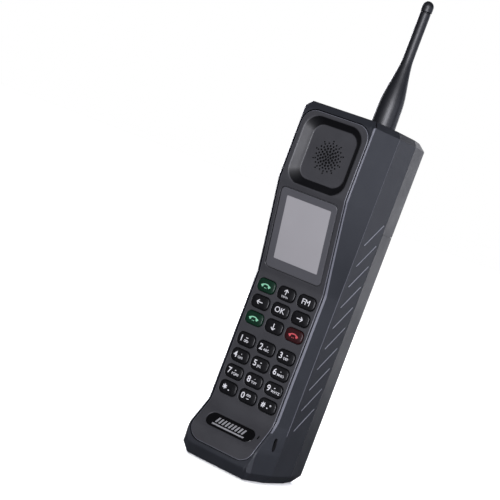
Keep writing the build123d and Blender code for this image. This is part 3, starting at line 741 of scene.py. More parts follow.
class CoverPlan:
    """Rows and columns of the front cover, read as places across and along the front line.

    Round a corner a row's half-width is half - R + R sin(a) and its place end + R (1 - cos(a)).
    """

    def __init__(self, context):
        case, keys = context.scene.phone_case, context.scene.phone_keys
        self.line = front_line(case)
        self.case = case
        key_z, key_x = key_centres()
        self.key_z, self.key_x = key_z, key_x
        half = COVER_HIGH[0]
        edges = cell_edges(key_x, -half, half)
        self.columns = np.unique(np.concatenate([np.linspace(a, b, COLUMNS + 1)
                                                 for a, b in zip(edges, edges[1:])]).round(9))
        t_at = self.line.t_at
        self.low, self.high = t_at(COVER_LOW[2]), t_at(COVER_HIGH[2])
        radius = case.cover_corner
        badge = (BADGE_LOW[2] + BADGE_HIGH[2]) / 2
        self.badge_t = t_at(badge + 0.35 * MM)
        rise = key_z[1] - key_z[0]
        key_edges = t_at(cell_edges(key_z, key_z[0] - rise / 2, key_z[-1] + rise / 2))
        slope = t_at(case.hinge_z)
        display = context.scene.phone_display
        self.window_t = slope + (display.window_low + display.window_high) / 2
        self.panel_t = slope + display.panel_mid
        window = self.window_t + (display.window_high - display.window_low) / 2 * np.array([-1, 1])
        self.ear_t = t_at((EAR_LOW[2] + EAR_HIGH[2]) / 2)
        ear_start = t_at(case.brow_z) - 1.9 * MM
        stops = [self.low + radius, self.badge_t - 5.6 * MM, self.badge_t + 5.6 * MM, key_edges[0],
                 *key_edges[1:], window[0] - 1.5 * MM, window[1] + 1.5 * MM, ear_start,
                 self.high - radius]
        steps = [3, ROWS, 12, *([ROWS] * len(key_z)), 6, 20, 3, 16]
        self.stops = np.r_[8, 8 + np.cumsum(steps)]
        self.rows = np.unique(np.concatenate([np.linspace(a, b, n + 1) for a, b, n in
                                              zip(stops, stops[1:], steps)]).round(9))

    def grid(self, inset):
        """Place across and along of every row and column, with the outline drawn in by inset."""
        radius, half = self.case.cover_corner - inset, COVER_HIGH[0] - inset
        turn = np.linspace(0, np.pi / 2, 9)[:-1]
        width = half - radius + radius * np.sin(turn)
        reach = self.low + inset + radius * (1 - np.cos(turn))
        far = self.high - inset - radius * (1 - np.cos(turn))
        t = np.concatenate([reach, self.rows, far[::-1]])
        w = np.concatenate([width, np.full(len(self.rows), half), width[::-1]])
        straight = (w == half)[:, None]
        x = np.where(straight, np.clip(self.columns, -half, half), self.columns * w[:, None] / COVER_HIGH[0])
        return x, np.broadcast_to(t[:, None], x.shape)


def frame_loop(x, t, i0, i1, j0, j1):
    """Edge of a block of the plan, anticlockwise from its lower left corner."""
    def run(rows, columns):
        return np.stack([x[rows, columns].ravel(), t[rows, columns].ravel()], axis=-1)
    return np.concatenate([run(i0, slice(j0, j1)), run(slice(i0, i1), j1),
                           run(i1, slice(j1, j0, -1)), run(slice(i1, i0, -1), j0)])


def edge_profile(thick):
    """Offset and depth down a rounded edge and its wall: quarter round, then straight."""
    offsets = np.r_[EDGE * (1 - np.sin(EDGE_ARC)), 0.0]
    depths = np.r_[EDGE * (1 - np.cos(EDGE_ARC)), thick]
    return list(zip(offsets, depths))


def laid(line, loops):
    """Points of a list of (outline, depth) pairs laid on the front line."""
    return np.stack([line.place(loop[:, 0], loop[:, 1], depth) for loop, depth in loops])


def ring(skin, line, outer, hole, profile, thick):
    """Tile with a hole: flat from its edge to the hole, down the profile and back underneath."""
    top = blend_loops(outer, hole(profile[0][0]), 5)
    loops = [(loop, 0.0) for loop in top[:-1]]
    loops += [(hole(offset), depth) for offset, depth in profile]
    loops += [(outer, thick)]
    skin.grid(laid(line, loops), True)


def badge_outline(plan, offset):
    """Outline of the badge's recess, grown by offset."""
    return rounded_loop(BADGE_WIDE + 2 * offset, BADGE_TALL + 2 * offset, BADGE_CORNER + offset,
                        3 * COLUMNS, ROWS, 4, (0, plan.badge_t))


def ear_loops(display, centre, back):
    """Outlines and depths of the ear dish: rim, slanting wall, hollow corner and floor.

    Size and corner radius change evenly with depth between the rim's and the floor's.
    """
    extra = display.ear_wall if back else 0.0
    deep = display.ear_depth + extra
    rim = np.array([display.ear_wide, display.ear_tall, display.ear_corner])
    floor = np.array([display.ear_floor_wide, display.ear_floor_tall, display.ear_floor_corner])

    def loop(share, shrink=1.0):
        wide, tall, corner = rim + (floor - rim) * share + extra * np.array([2, 2, 1])
        outline = rounded_loop(wide, tall, corner, 3 * COLUMNS, 24, 6)
        lean = np.array([-display.ear_side, -display.ear_drop]) * max(1 - share, 0)
        return outline * shrink + lean + (0, centre)
    if back:
        start = 0.55
        walls = [(loop(share), start * display.ear_depth + (deep - start * display.ear_depth)
                  * (share - start) / (1 - start)) for share in (start, 1.0)]
        return walls + [(loop(1.0, shrink), deep) for shrink in (0.7, 0.35, 0.0)]
    turn = np.linspace(0, 1, 5)
    lip = [(loop(-0.09 + 0.16 * a), display.ear_depth * 0.085 * a ** 2) for a in turn]
    wall = [(loop(share), display.ear_depth * (share - 0.07 + 0.085) * 0.97) for share in (0.3, 0.6, 0.85)]
    heel = [(loop(0.93), 0.955 * deep), (loop(1.0), deep * 0.99), (loop(1.08), deep)]
    return lip + wall + heel + [(loop(1.08, shrink), deep) for shrink in (0.8, 0.55, 0.3, 0.12, 0.0)]


def build_front_cover(context):
    """Front moulding: a skin of tiles along the front line with its key holes, display step and ear dish."""
    keys, display = context.scene.phone_keys, context.scene.phone_display
    plan = CoverPlan(context)
    line, thick = plan.line, context.scene.phone_case.cover_thick
    x, t = plan.grid(EDGE)
    skin = Skin()
    stops, across = plan.stops, x.shape[1] - 1
    plain = [(0, stops[1]), (stops[2], stops[3]), (stops[10], stops[11]), (stops[12], stops[13])]
    for low, high in plain:
        block = slice(low, high + 1)
        for depth in (0.0, thick):
            skin.grid(line.place(x[block], t[block], depth))

    def badge_hole(offset):
        return badge_outline(plan, offset)
    outer = frame_loop(x, t, stops[1], stops[2], 0, across)
    spine = badge_hole(0) * (1, 0) + (0, plan.badge_t)
    loops = [(loop, 0.0) for loop in blend_loops(outer, badge_hole(EDGE), 5)[:-1]]
    loops += [(badge_hole(offset), depth) for offset, depth in edge_profile(display.badge_recess)]
    loops += [(loop, display.badge_recess) for loop in blend_loops(badge_hole(0), spine, 3)[1:]]
    skin.grid(laid(line, loops), True)
    under = [*blend_loops(outer, badge_hole(0), 3), *blend_loops(badge_hole(0), spine, 3)[1:]]
    skin.grid(laid(line, [(loop, thick) for loop in under]), True)

    for row, z in enumerate(plan.key_z):
        for column, middle_x in enumerate(plan.key_x):
            centre = (middle_x, line.t_at(z))

            def key_hole(offset, centre=centre):
                grow = 2 * (keys.gap + offset)
                return rounded_loop(keys.wide + grow, keys.tall + grow, keys.corner + grow / 2,
                                    COLUMNS, ROWS, 3, centre)
            outer = frame_loop(x, t, stops[3 + row], stops[4 + row], column * COLUMNS,
                               (column + 1) * COLUMNS)
            ring(skin, line, outer, key_hole, edge_profile(thick), thick)

    def window_hole(offset):
        return rounded_loop(display.window_wide + 2 * offset,
                            display.window_high - display.window_low + 2 * offset,
                            display.window_corner + offset, across, 20, 3,
                            (-display.window_side, plan.window_t))
    sight = rounded_loop(display.sight_wide, display.sight_tall, 0.9 * MM, across, 20, 3,
                         (0, plan.panel_t))
    outer = frame_loop(x, t, stops[11], stops[12], 0, across)
    loops = [(loop, 0.0) for loop in blend_loops(outer, window_hole(EDGE), 4)[:-1]]
    loops += [(window_hole(offset), depth) for offset, depth in edge_profile(display.window_recess)]
    loops += [(sight, display.window_recess), (sight, thick), (outer, thick)]
    skin.grid(laid(line, loops), True)

    outer = frame_loop(x, t, stops[13], len(x) - 1, 0, across)
    dish = ear_loops(display, plan.ear_t, False)
    flat = [(loop, 0.0) for loop in blend_loops(outer, dish[0][0], 6)[:-1]]
    skin.grid(laid(line, flat + dish), True)
    back = ear_loops(display, plan.ear_t, True)
    flat = [(loop, thick) for loop in blend_loops(outer, back[0][0], 6)]
    skin.grid(laid(line, flat + back), True)

    rims = []
    for offset, depth in edge_profile(thick):
        edge_x, edge_t = plan.grid(offset)
        rims.append((frame_loop(edge_x, edge_t, 0, len(x) - 1, 0, across), depth))
    rims.append((frame_loop(x, t, 0, len(x) - 1, 0, across), thick))
    skin.grid(laid(line, rims), True)
    piece = new_piece(skin.mesh("front_cover_moulding"))
    holes = Skin()
    floor_y = -context.scene.phone_case.head_y + display.ear_depth
    ear_z = (EAR_LOW[2] + EAR_HIGH[2]) / 2
    for hole_x, hole_z, radius in sound_holes():
        holes.grid(slot_cutter((hole_x, floor_y, ear_z + hole_z), (1, 0, 0), (0, 0, 1),
                               2.001 * radius, 2 * radius, (0, HOLE_REACH, 0), 3), True)
    slit = line.place(MIC_X, plan.badge_t + MIC_RISE)
    push = line.place(0, plan.badge_t, HOLE_REACH) - line.place(0, plan.badge_t)
    along = line.place(0, plan.badge_t + 1 * MM) - line.place(0, plan.badge_t)
    holes.grid(slot_cutter(slit, along / np.linalg.norm(along), (1, 0, 0), MIC_LENGTH, MIC_WIDTH,
                           push), True)
    cut(piece, new_piece(holes.mesh("cutter")))
    smooth(piece)
    settle(piece, "housing", "cover_plastic", material_cover(context), "front_cover")
    half, radius = COVER_HIGH[0], context.scene.phone_case.cover_corner

    # Painted highlight: the rounded front edge all round the cover takes the lighter edge tone
    def edge_highlight_faces(middles, normals):
        reach = line.t_at(middles[:, 2]) - (plan.low + plan.high) / 2
        out = np.abs(np.stack([middles[:, 0], reach])) - np.array([[half], [(plan.high - plan.low) / 2]])
        out += radius
        far = np.hypot(*np.maximum(out, 0)) + np.minimum(out.max(axis=0), 0) - radius
        return (far > -0.9 * EDGE) & (normals[:, 1] < -0.2)

    # Painted shade: every wall of the cover that stands square to the front, its outer side and the walls of
    # its holes and steps, goes near-black
    def on_side(middles, normals):
        return (np.abs(normals[:, 1]) < 0.1) & (middles[:, 1] < 0)

    # Painted shade: the sloping walls of the ear dish go near-black all round; only the real reflection of
    # the lights brightens them
    def dish_wall_shade_faces(middles, normals):
        deep = middles[:, 1] + context.scene.phone_case.head_y
        around = np.abs(middles[:, 0]) < display.ear_wide / 2
        high = middles[:, 2] > EAR_LOW[2] - 8 * MM
        return around & high & (deep > 0.3 * MM) & (deep < 0.93 * display.ear_depth) & (normals[:, 1] < 0)
    paint(piece, material_shade_black(context), on_side)
    paint(piece, material_edge_highlight(context), edge_highlight_faces)
    paint(piece, material_shade_black(context), dish_wall_shade_faces)


def sound_holes():
    """Place and radius of the sound holes: one in the middle and six rings round it.

    Every second ring is turned by half the angle between two of its holes.
    """
    places = [(0.0, -SOUND_DROP, 0.6 * MM)]
    for ring_number, (reach, count, radius) in enumerate(SOUND_RINGS):
        angles = 2 * math.pi * (np.arange(count) + 0.5 * (ring_number % 2)) / count
        far = reach * SOUND_SPREAD * MM
        places += [(far * math.cos(a), far * math.sin(a) - SOUND_DROP, radius * MM) for a in angles]
    return places


# Keys --------------------------------------------------------------------------------------------

def key_profile(keys):
    """Inset and height of a key's outlines, from the middle of its crown to the middle of its back.

    The crown falls off as the square of the way to its edge, the edge is a quarter round, then come
    the wall, the flange and the back.
    """
    half = keys.tall / 2
    share = np.linspace(0, 1, 7)
    dome = [(half + (keys.edge - half) * s, keys.crown * (1 - s * s)) for s in share]
    turn = np.linspace(0, np.pi / 2, 6)[1:]
    edge = [(keys.edge * (1 - np.sin(a)), -keys.edge * (1 - np.cos(a))) for a in turn]
    top = -KEY_LOW[1] - keys.crown
    back = -KEY_HIGH[1] - top
    ledge = back + 0.7 * MM
    rest = [(0.0, ledge), (-keys.flange, ledge), (-keys.flange, back), (half, back)]
    return dome + edge + rest, top


def key_outline(keys, inset, height, middle):
    """Rounded outline of a key drawn in by inset, at a height in front of the middle."""
    wide, tall = keys.wide - 2 * inset, keys.tall - 2 * inset
    corner = min(max(keys.corner - inset, 0.02 * MM), tall / 2 - 0.001 * MM) if tall > 0.1 * MM else 0.0
    plan = rounded_loop(wide, tall, corner, 20, 14, 5, middle)
    return np.stack([plan[:, 0], np.full(len(plan), -height), plan[:, 1]], axis=-1)


def crown_height(keys, x, z):
    """Height of a key's crown at points measured from its middle."""
    inset = np.minimum(keys.wide / 2 - np.abs(x), keys.tall / 2 - np.abs(z))
    share = np.clip((inset - keys.edge) / (keys.tall / 2 - keys.edge), 0, 1)
    return keys.crown * (1 - (1 - share) ** 2)


def build_keys(context):
    """Key caps with their flanges, each on its own body, and the signs printed on them."""
    keys = context.scene.phone_keys
    profile, top = key_profile(keys)
    dyes = {"key_call_first": "green", "key_call_second": "green", "key_end": "red"}
    slots = {"green": "key_green", "red": "key_red", "black": "key_plastic"}
    finishes = {dye: material_key(context, dye) for dye in slots}
    for name in KEY_NAMES:
        low, high = node_box(name)
        middle = ((low[0] + high[0]) / 2, (low[2] + high[2]) / 2)
        piece = closed_piece(name + "_cap", np.stack([key_outline(keys, inset, top + height, middle)
                                                      for inset, height in profile]))
        smooth(piece, 40)
        dye = dyes.get(name, "black")
        settle(piece, name, slots[dye], finishes[dye], name)
        print_sign(context, name, middle, top)


# Signs are drawn flat in millimetres about the key's middle and then laid on its crown.

def text_part(body, size_mm, x, y, bold=0.0, align="LEFT"):
    """Outline mesh of a few characters, in millimetres."""
    curve = bpy.data.curves.new("sign", "FONT")
    curve.body, curve.size, curve.offset = body, size_mm, bold
    curve.align_x, curve.align_y = align, "CENTER"
    curve.resolution_u = 4
    curve.extrude = 0.5
    carrier = bpy.data.objects.new("sign", curve)
    bpy.context.scene.collection.objects.link(carrier)
    bpy.context.view_layer.update()
    mesh = bpy.data.meshes.new_from_object(carrier.evaluated_get(bpy.context.evaluated_depsgraph_get()))
    bpy.data.objects.remove(carrier)
    bpy.data.curves.remove(curve)
    mesh.transform(Matrix.Translation((x, y, 0)))
    return mesh


def stroke_part(points, widths, x=0.0, y=0.0):
    """Band of the given widths along a polyline: each point is moved both ways square to it."""
    points = np.array(points, float) + (x, y)
    run = np.gradient(points, axis=0)
    run /= np.linalg.norm(run, axis=1, keepdims=True)
    square = np.stack([-run[:, 1], run[:, 0]], axis=1) * np.broadcast_to(widths, len(points))[:, None] / 2
    sides = [np.concatenate([points + way * square, np.full((len(points), 1), height)], axis=1)
             for way, height in ((1, -0.5), (-1, -0.5), (-1, 0.5), (1, 0.5))]
    loops = np.stack(sides, axis=1)
    caps = [np.repeat(loops[end].mean(0)[None], 4, 0)[None] for end in (0, -1)]
    skin = Skin()
    skin.grid(np.concatenate([caps[0], loops, caps[1]]), True)
    return skin.mesh("stroke", weld=1e-4)


def arrow_parts(angle, reach=1.8, middle=(0.0, 0.0)):
    """Arrow with a straight shaft and an open head, turned by an angle."""
    turn = np.array([[math.cos(angle), math.sin(angle)], [-math.sin(angle), math.cos(angle)]])
    shaft = np.array([(-reach, 0), (0, 0), (reach - 0.2, 0)]) @ turn
    head = np.array([(reach - 1.3, 1.25), (reach - 0.6, 0.6), (reach, 0.0), (reach - 0.6, -0.6),
                     (reach - 1.3, -1.25)]) @ turn
    return [stroke_part(shaft, 0.46, *middle), stroke_part(head, 0.46, *middle)]


def handset_parts():
    """Arched handset: a band on an arc that swells into a lobe at each end, over two small dots."""
    place = np.linspace(-1, 1, 33)
    angle = place * 0.8
    radius = 3.7
    points = np.stack([radius * np.sin(angle), radius * np.cos(angle) - 2.9], axis=1)
    lobe = np.clip((np.abs(place) - 0.62) / 0.1, 0, 1)
    points[:, 1] -= 0.35 * lobe
    widths = 0.62 + 0.85 * lobe * lobe * (3 - 2 * lobe)
    dots = [stroke_part([(dot - 0.25, -1.2), (dot, -1.2), (dot + 0.25, -1.2)], 0.4) for dot in (-0.45, 0.45)]
    return [stroke_part(points, widths), *dots]


def star_parts(x, y, radius):
    """Star of three crossing strokes."""
    angles = (math.pi / 2, math.pi / 6, -math.pi / 6)
    arms = [np.array([(-1, 0), (0, 0), (1, 0)]) * radius @ np.array(
        [[math.cos(a), math.sin(a)], [-math.sin(a), math.cos(a)]]) for a in angles]
    return [stroke_part(arm, 0.62, x, y) for arm in arms]


def ring_parts(x, y, radius):
    """Small open ring."""
    angle = np.linspace(0, 2 * np.pi, 17)
    return [stroke_part(np.stack([x + radius * np.cos(angle), y + radius * np.sin(angle)], 1), 0.28)]


def dash(x, y, long, wide=0.34):
    """Short level stroke."""
    return stroke_part([(x - long / 2, y), (x, y), (x + long / 2, y)], wide)


def sign_parts(context, name):
    """Flat parts of one key's sign."""
    keys = context.scene.phone_keys
    digit, letter = keys.digit / MM, keys.letter / MM
    if name == "key_up":
        return [*arrow_parts(math.pi / 2, 1.45, (0.0, 0.95)), text_part("MENU", 1.5, 0, -1.75, 0.0, "CENTER")]
    if name in KEY_SIGNS:
        angles = {"right": 0.0, "left": math.pi, "down": -math.pi / 2}
        sign = KEY_SIGNS[name]
        return arrow_parts(angles[sign]) if sign in angles else handset_parts()
    if name in KEY_WORDS:
        return [text_part(KEY_WORDS[name], digit * 0.92, 0, 0, 0.0, "CENTER")]
    if name == "key_star":
        return [*star_parts(-1.9, 0.3, 1.35), dash(1.0, -0.9, 0.7, 0.6)]
    if name == "key_hash":
        return [text_part("#", digit * 0.8, -3.4, 0.2, 0.1), dash(0.6, -0.9, 0.8, 0.6),
                *ring_parts(2.2, 0.9, 0.35)]
    main, small = KEY_LEGENDS[name]
    parts = [text_part(main, digit, -3.9, 0.0, 0.05)]
    if name == "key_0":
        return parts + [*ring_parts(0.1, 1.0, 0.5), *ring_parts(1.5, 1.0, 0.5), dash(0.8, -0.9, 1.6)]
    if name == "key_1":
        return parts + [dash(0.6, 1.1, 1.5), *ring_parts(-0.2, -0.7, 0.55), *ring_parts(1.3, -0.7, 0.55),
                        dash(0.55, -0.15, 1.3)]
    parts += [text_part(small, letter, -0.9, -0.85, 0.02)]
    tick = 0.9 if int(main) % 2 else 0.4
    return parts + [dash(0.9, 1.15, tick, 0.36)]


def print_sign(context, name, middle, top):
    """Lays a key's sign on its crown as a thin closed slab and joins it to the key's body."""
    keys = context.scene.phone_keys
    work = bmesh.new()
    for part in sign_parts(context, name):
        work.from_mesh(part)
        bpy.data.meshes.remove(part)
    bmesh.ops.remove_doubles(work, verts=work.verts, dist=1e-4)
    for longest in (1.6, 0.8):
        bmesh.ops.triangulate(work, faces=work.faces)
        long_edges = [edge for edge in work.edges if edge.calc_length() > longest]
        bmesh.ops.subdivide_edges(work, edges=long_edges, cuts=1)
    bmesh.ops.triangulate(work, faces=work.faces)
    mesh = bpy.data.meshes.new(name + "_print")
    work.to_mesh(mesh)
    work.free()
    flat = np.empty(len(mesh.vertices) * 3)
    mesh.vertices.foreach_get("co", flat)
    flat = flat.reshape(-1, 3)
    x, z, lift = flat[:, 0] * MM, flat[:, 1] * MM, flat[:, 2]
    height = top + crown_height(keys, x, z) + keys.ink * (0.3 + lift)
    placed = np.stack([x + middle[0], -height, z + middle[1]], axis=-1)
    mesh.vertices.foreach_set("co", placed.ravel())
    mesh.update()
    piece = new_piece(mesh)
    shade = {"call": "green", "end": "pink"}.get(KEY_SIGNS.get(name), "white")
    settle(piece, name, "key_plastic", material_ink(context, shade))


# Display, badge and antenna ----------------------------------------------------------------------

def plate(name, line, outline, low, high, edge):
    """Flat plate on the front line between two depths, its front edge rounded by a quarter round."""
    turn = np.linspace(0, np.pi / 2, 4)
    middle = outline(0).mean(0)
    front = [(middle + (outline(-edge) - middle) * share, high) for share in (0, 0.35, 0.7)]
    edges = [(outline(-edge * (1 - np.sin(a))), high + edge * (1 - np.cos(a))) for a in turn]
    back = [(outline(0), low), (middle + 0 * outline(0), low)]
    return closed_piece(name, laid(line, front + edges + back))


def build_display(context):
    """Glossy window plate with its printed border, and the panel that shows through it."""
    display = context.scene.phone_display
    plan = CoverPlan(context)
    gap = 0.35 * MM

    def window(offset):
        wide = display.window_wide - 2 * gap + 2 * offset
        tall = display.window_high - display.window_low - 2 * gap + 2 * offset
        return rounded_loop(wide, tall, display.window_corner - gap + offset, 36, 20, 3,
                            (-display.window_side, plan.window_t))

    def panel(offset):
        return rounded_loop(display.panel_wide + 2 * offset, display.panel_tall + 2 * offset,
                            0.5 * MM + offset, 36, 20, 3, (0, plan.panel_t))
    border = plate("display_window_plate", plan.line, window, low=display.window_recess,
                   high=0.15 * MM, edge=0.3 * MM)
    smooth(border)
    settle(border, "housing", "window_glass", material_border(context), "display_window")
    screen = plate("display_screen", plan.line, panel, low=0.3 * MM, high=0.13 * MM, edge=0.01 * MM)
    smooth(screen)
    settle(screen, "housing", "display_panel", material_panel(context))


def build_badge(context):
    """Plain oval badge with generic slanting silver bars over a line."""
    plan = CoverPlan(context)
    line = plan.line

    def oval(offset):
        return badge_outline(plan, offset - BADGE_GAP)
    recess = context.scene.phone_display.badge_recess
    badge = plate("badge_oval", line, oval, low=recess, high=0.25 * MM, edge=0.2 * MM)
    smooth(badge)
    settle(badge, "housing", "badge_metal", material_badge(context), "badge_plate")
    skin = Skin()
    count, step = 9, 2.15 * MM
    wide, tall, lean = 1.05 * MM, 3.3 * MM, 0.9 * MM
    for number in range(count):
        middle = (number - (count - 1) / 2) * step
        skin.grid(bar(line, plan.badge_t + 0.5 * MM, middle, wide, tall, lean), True)
    skin.grid(bar(line, plan.badge_t - 2.45 * MM, 0.0, wide=21.0 * MM, tall=0.9 * MM, lean=0.3 * MM), True)
    bars = new_piece(skin.mesh("badge_bars"))
    smooth(bars)
    settle(bars, "housing", "badge_metal", material_silver(context))


def bar(line, middle_t, middle_x, wide, tall, lean):
    """Thin raised bar on the badge, a box whose top is shifted sideways by its lean."""
    square = np.array([(-1, -1), (1, -1), (1, 1), (-1, 1)]) / 2
    outline = np.stack([square[:, 0] * wide + square[:, 1] * lean + middle_x,
                        square[:, 1] * tall + middle_t], axis=-1)
    centre = np.repeat(outline.mean(0)[None], 4, 0)
    return laid(line, [(centre, 0.3 * MM), (outline, 0.3 * MM), (outline, 0.14 * MM), (centre, 0.14 * MM)])


def turned(name, radii, heights, axis, sides=64):
    """Surface of revolution: each (radius, height) of the profile is carried round the axis."""
    angle = np.linspace(0, 2 * np.pi, sides, endpoint=False)
    radii, heights = np.asarray(radii)[:, None], np.asarray(heights)[:, None]
    points = np.stack([axis[0] + radii * np.cos(angle), axis[1] + radii * np.sin(angle),
                       heights + 0 * angle], axis=-1)
    return closed_piece(name, points)


def build_antenna(context):
    """Rubber sleeve that tapers in a hollow curve to a thin rod, and its rounded cap."""
    antenna = context.scene.phone_antenna
    axis = (SLEEVE_LOW + SLEEVE_HIGH) / 2
    base, end, thick = SLEEVE_LOW[2], SLEEVE_HIGH[2], (SLEEVE_HIGH[0] - SLEEVE_LOW[0]) / 2
    knots = base + np.array([0.0, 6.0, 15.0, 21.0, 26.5, 31.5, 36.5, 41.5]) * MM
    knots[-1] = max(knots[-1], base + antenna.neck)
    reach = np.array([7.0, 6.85, 6.5, 5.65, 4.6, 3.75, 3.1, 2.95]) * thick / 7.0
    z = np.linspace(base, end, 80)
    radius = smooth_profile(knots, reach, z)
    turn = np.linspace(0, np.pi / 2, 5)
    foot = 0.5 * MM
    radii = np.r_[0, thick - 1.2 * foot, thick - foot * (1 - np.sin(turn)), radius[3:-1],
                  antenna.thin - 0.3 * MM * (1 - np.cos(turn)), 0]
    heights = np.r_[base, base, base + foot * (1 - np.cos(turn)), z[3:-1],
                    end - 0.3 * MM * (1 - np.sin(turn)), end]
    sleeve = turned("antenna_rubber", radii, heights, axis)
    smooth(sleeve)
    settle(sleeve, "antenna", "antenna_rubber", material_rubber(context), "antenna_sleeve")
    cap_radius = (TIP_HIGH[0] - TIP_LOW[0]) / 2
    top, tall, neck, lip = TIP_HIGH[2], 6.1 * MM, 1.9 * MM, 0.3 * MM
    low = top - tall
    dome = np.linspace(0, np.pi / 2, 12)
    radii = np.r_[0, neck, neck, cap_radius - lip, cap_radius - lip * (1 - np.sin(turn)),
                  cap_radius * np.cos(dome)]
    heights = np.r_[TIP_LOW[2], TIP_LOW[2], low, low, low + lip * (1 - np.cos(turn)),
                    top - cap_radius + cap_radius * np.sin(dome)]
    tip = turned("antenna_cap", radii, heights, axis)
    smooth(tip)
    settle(tip, "antenna", "antenna_rubber", material_rubber(context), "antenna_tip_cap")


def smooth_profile(knots, values, where):
    """Cubic through the knots whose slope at each is that between its two neighbours."""
    slope = np.gradient(values, knots)
    span = np.clip(np.searchsorted(knots, where, side="right") - 1, 0, len(knots) - 2)
    width = knots[span + 1] - knots[span]
    s = np.clip((where - knots[span]) / width, 0, 1)
    return ((2 * s ** 3 - 3 * s ** 2 + 1) * values[span] + (s ** 3 - 2 * s ** 2 + s) * width * slope[span]
            + (3 * s ** 2 - 2 * s ** 3) * values[span + 1] + (s ** 3 - s ** 2) * width * slope[span + 1])


# Materials ---------------------------------------------------------------------------------------

def linear(value):
    """sRGB hex as a linear colour: the sRGB curve undone on each channel."""
    channels = np.array([int(value[i:i + 2], 16) for i in (1, 3, 5)]) / 255
    low, high = channels / 12.92, ((channels + 0.055) / 1.055) ** 2.4
    return (*np.where(channels <= 0.04045, low, high), 1.0)


def add(tree, kind, inputs=(), **settings):
    """Adds a node with its settings; an input is a value or another node's output."""
    node = tree.nodes.new(kind)
    for key, value in settings.items():
        setattr(node, key, value)
    for socket, value in dict(inputs).items():
        if isinstance(value, bpy.types.NodeSocket):
            tree.links.new(value, node.inputs[socket])
        else:
            node.inputs[socket].default_value = value
    return node


def moulded(name, tint, roughness, grain=0.35 * MM, depth=0.02 * MM, mottle=0.06, spread=14 * MM,
            **shader_values):
    """Surface with a fine grain in its relief and slow changes in its colour and gloss.

    grain is the size of the grain, spread the size of the slow patches, mottle their contrast.
    """
    material = bpy.data.materials.get(name)
    if material:
        return material
    material = bpy.data.materials.new(name)
    material.use_nodes = True
    tree = material.node_tree
    shader = next(node for node in tree.nodes if node.type == "BSDF_PRINCIPLED")
    place = add(tree, "ShaderNodeTexCoord").outputs["Object"]
    slow = add(tree, "ShaderNodeTexNoise", {"Vector": place, "Scale": 1 / spread, "Detail": 3.0})
    fine = add(tree, "ShaderNodeTexNoise", {"Vector": place, "Scale": 1 / grain, "Detail": 2.0})
    base = np.array(linear(tint)[:3])
    ramp = add(tree, "ShaderNodeValToRGB", {"Fac": slow.outputs["Fac"]})
    ramp.color_ramp.elements[0].position, ramp.color_ramp.elements[1].position = 0.3, 0.7
    ramp.color_ramp.elements[0].color = (*base * (1 - mottle), 1.0)
    ramp.color_ramp.elements[1].color = (*base * (1 + mottle), 1.0)
    gloss = add(tree, "ShaderNodeMapRange", {"Value": slow.outputs["Fac"], "From Min": 0.3, "From Max": 0.7,
                                             "To Min": roughness * 0.92, "To Max": roughness * 1.08})
    relief = add(tree, "ShaderNodeBump", {"Height": fine.outputs["Fac"], "Strength": 0.6,
                                          "Distance": depth})
    tree.links.new(ramp.outputs["Color"], shader.inputs["Base Color"])
    tree.links.new(gloss.outputs["Result"], shader.inputs["Roughness"])
    tree.links.new(relief.outputs["Normal"], shader.inputs["Normal"])
    for socket, value in shader_values.items():
        shader.inputs[socket.replace("_", " ")].default_value = value
    return material


def material_case(context):
    """Spark-eroded ABS: a fine even grain that spreads the highlights into a satin sheen."""
    return moulded("ABS spark eroded", context.scene.phone_finish.case, 0.42, 0.3 * MM, 0.03 * MM, IOR=1.53)


def material_cover(context):
    """Satin painted ABS: smoother than the case, with a soft even sheen."""
    return moulded("ABS satin painted", context.scene.phone_finish.cover, 0.46, 0.25 * MM, 0.015 * MM,
                   IOR=1.5)


def material_edge_highlight(context):
    """Painted highlight: the same ABS in a lighter tone, laid in a thin line along the edges to stand for the
    light they catch.
    """
    return moulded("ABS painted edge highlight", context.scene.phone_finish.edge, 0.35, 0.2 * MM, 0.006 * MM, IOR=1.5)


def material_shade_black(context):
    """Painted shade: near-black ABS laid on walls and hollows where shade falls, dark except where its gloss
    mirrors the light.
    """
    return moulded("ABS black painted shade", context.scene.phone_finish.polished, 0.44, 0.5 * MM,
                   0.006 * MM, IOR=1.47)


def material_key(context, dye):
    """Polished acrylic keys, dyed black, dark green or dark red: small sharp highlights on the crowns."""
    tint = {"black": "key", "green": "key_green", "red": "key_red"}[dye]
    return moulded("Acrylic polished " + dye, getattr(context.scene.phone_finish, tint), 0.4, 0.8 * MM,
                   0.004 * MM, IOR=1.49)


def material_ink(context, shade):
    """Screen-printed white, pale green or pink ink: matt, slightly uneven in cover."""
    tint = {"white": "ink", "green": "ink_green", "pink": "ink_red"}[shade]
    return moulded("Ink screen printed " + shade, getattr(context.scene.phone_finish, tint), 0.55,
                   0.15 * MM, 0.004 * MM)


def material_border(context):
    """Polycarbonate window over a printed border: deep gloss over grey ink."""
    return moulded("Polycarbonate over printed border", context.scene.phone_finish.border, 0.3, 0.5 * MM,
                   0.001 * MM, 0.03, IOR=1.58, Coat_Weight=0.6, Coat_Roughness=0.06)


def material_panel(context):
    """Liquid crystal panel at rest under the window: pale grey with soft clouding."""
    return moulded("Liquid crystal behind polycarbonate", context.scene.phone_finish.panel, 0.35, 0.5 * MM,
                   0.001 * MM, 0.035, 40 * MM, IOR=1.58, Coat_Weight=0.5, Coat_Roughness=0.08)


def material_badge(context):
    """Gloss black lacquer on aluminium."""
    return moulded("Aluminium lacquered black", context.scene.phone_finish.lacquer, 0.18, 0.6 * MM,
                   0.003 * MM, IOR=1.5, Coat_Weight=0.5, Coat_Roughness=0.05)


def material_silver(context):
    """Hot-stamped silver foil: metallic, slightly soft at its edges."""
    return moulded("Foil hot stamped silver", context.scene.phone_finish.silver, 0.42, 0.2 * MM,
                   0.01 * MM, Metallic=0.55)


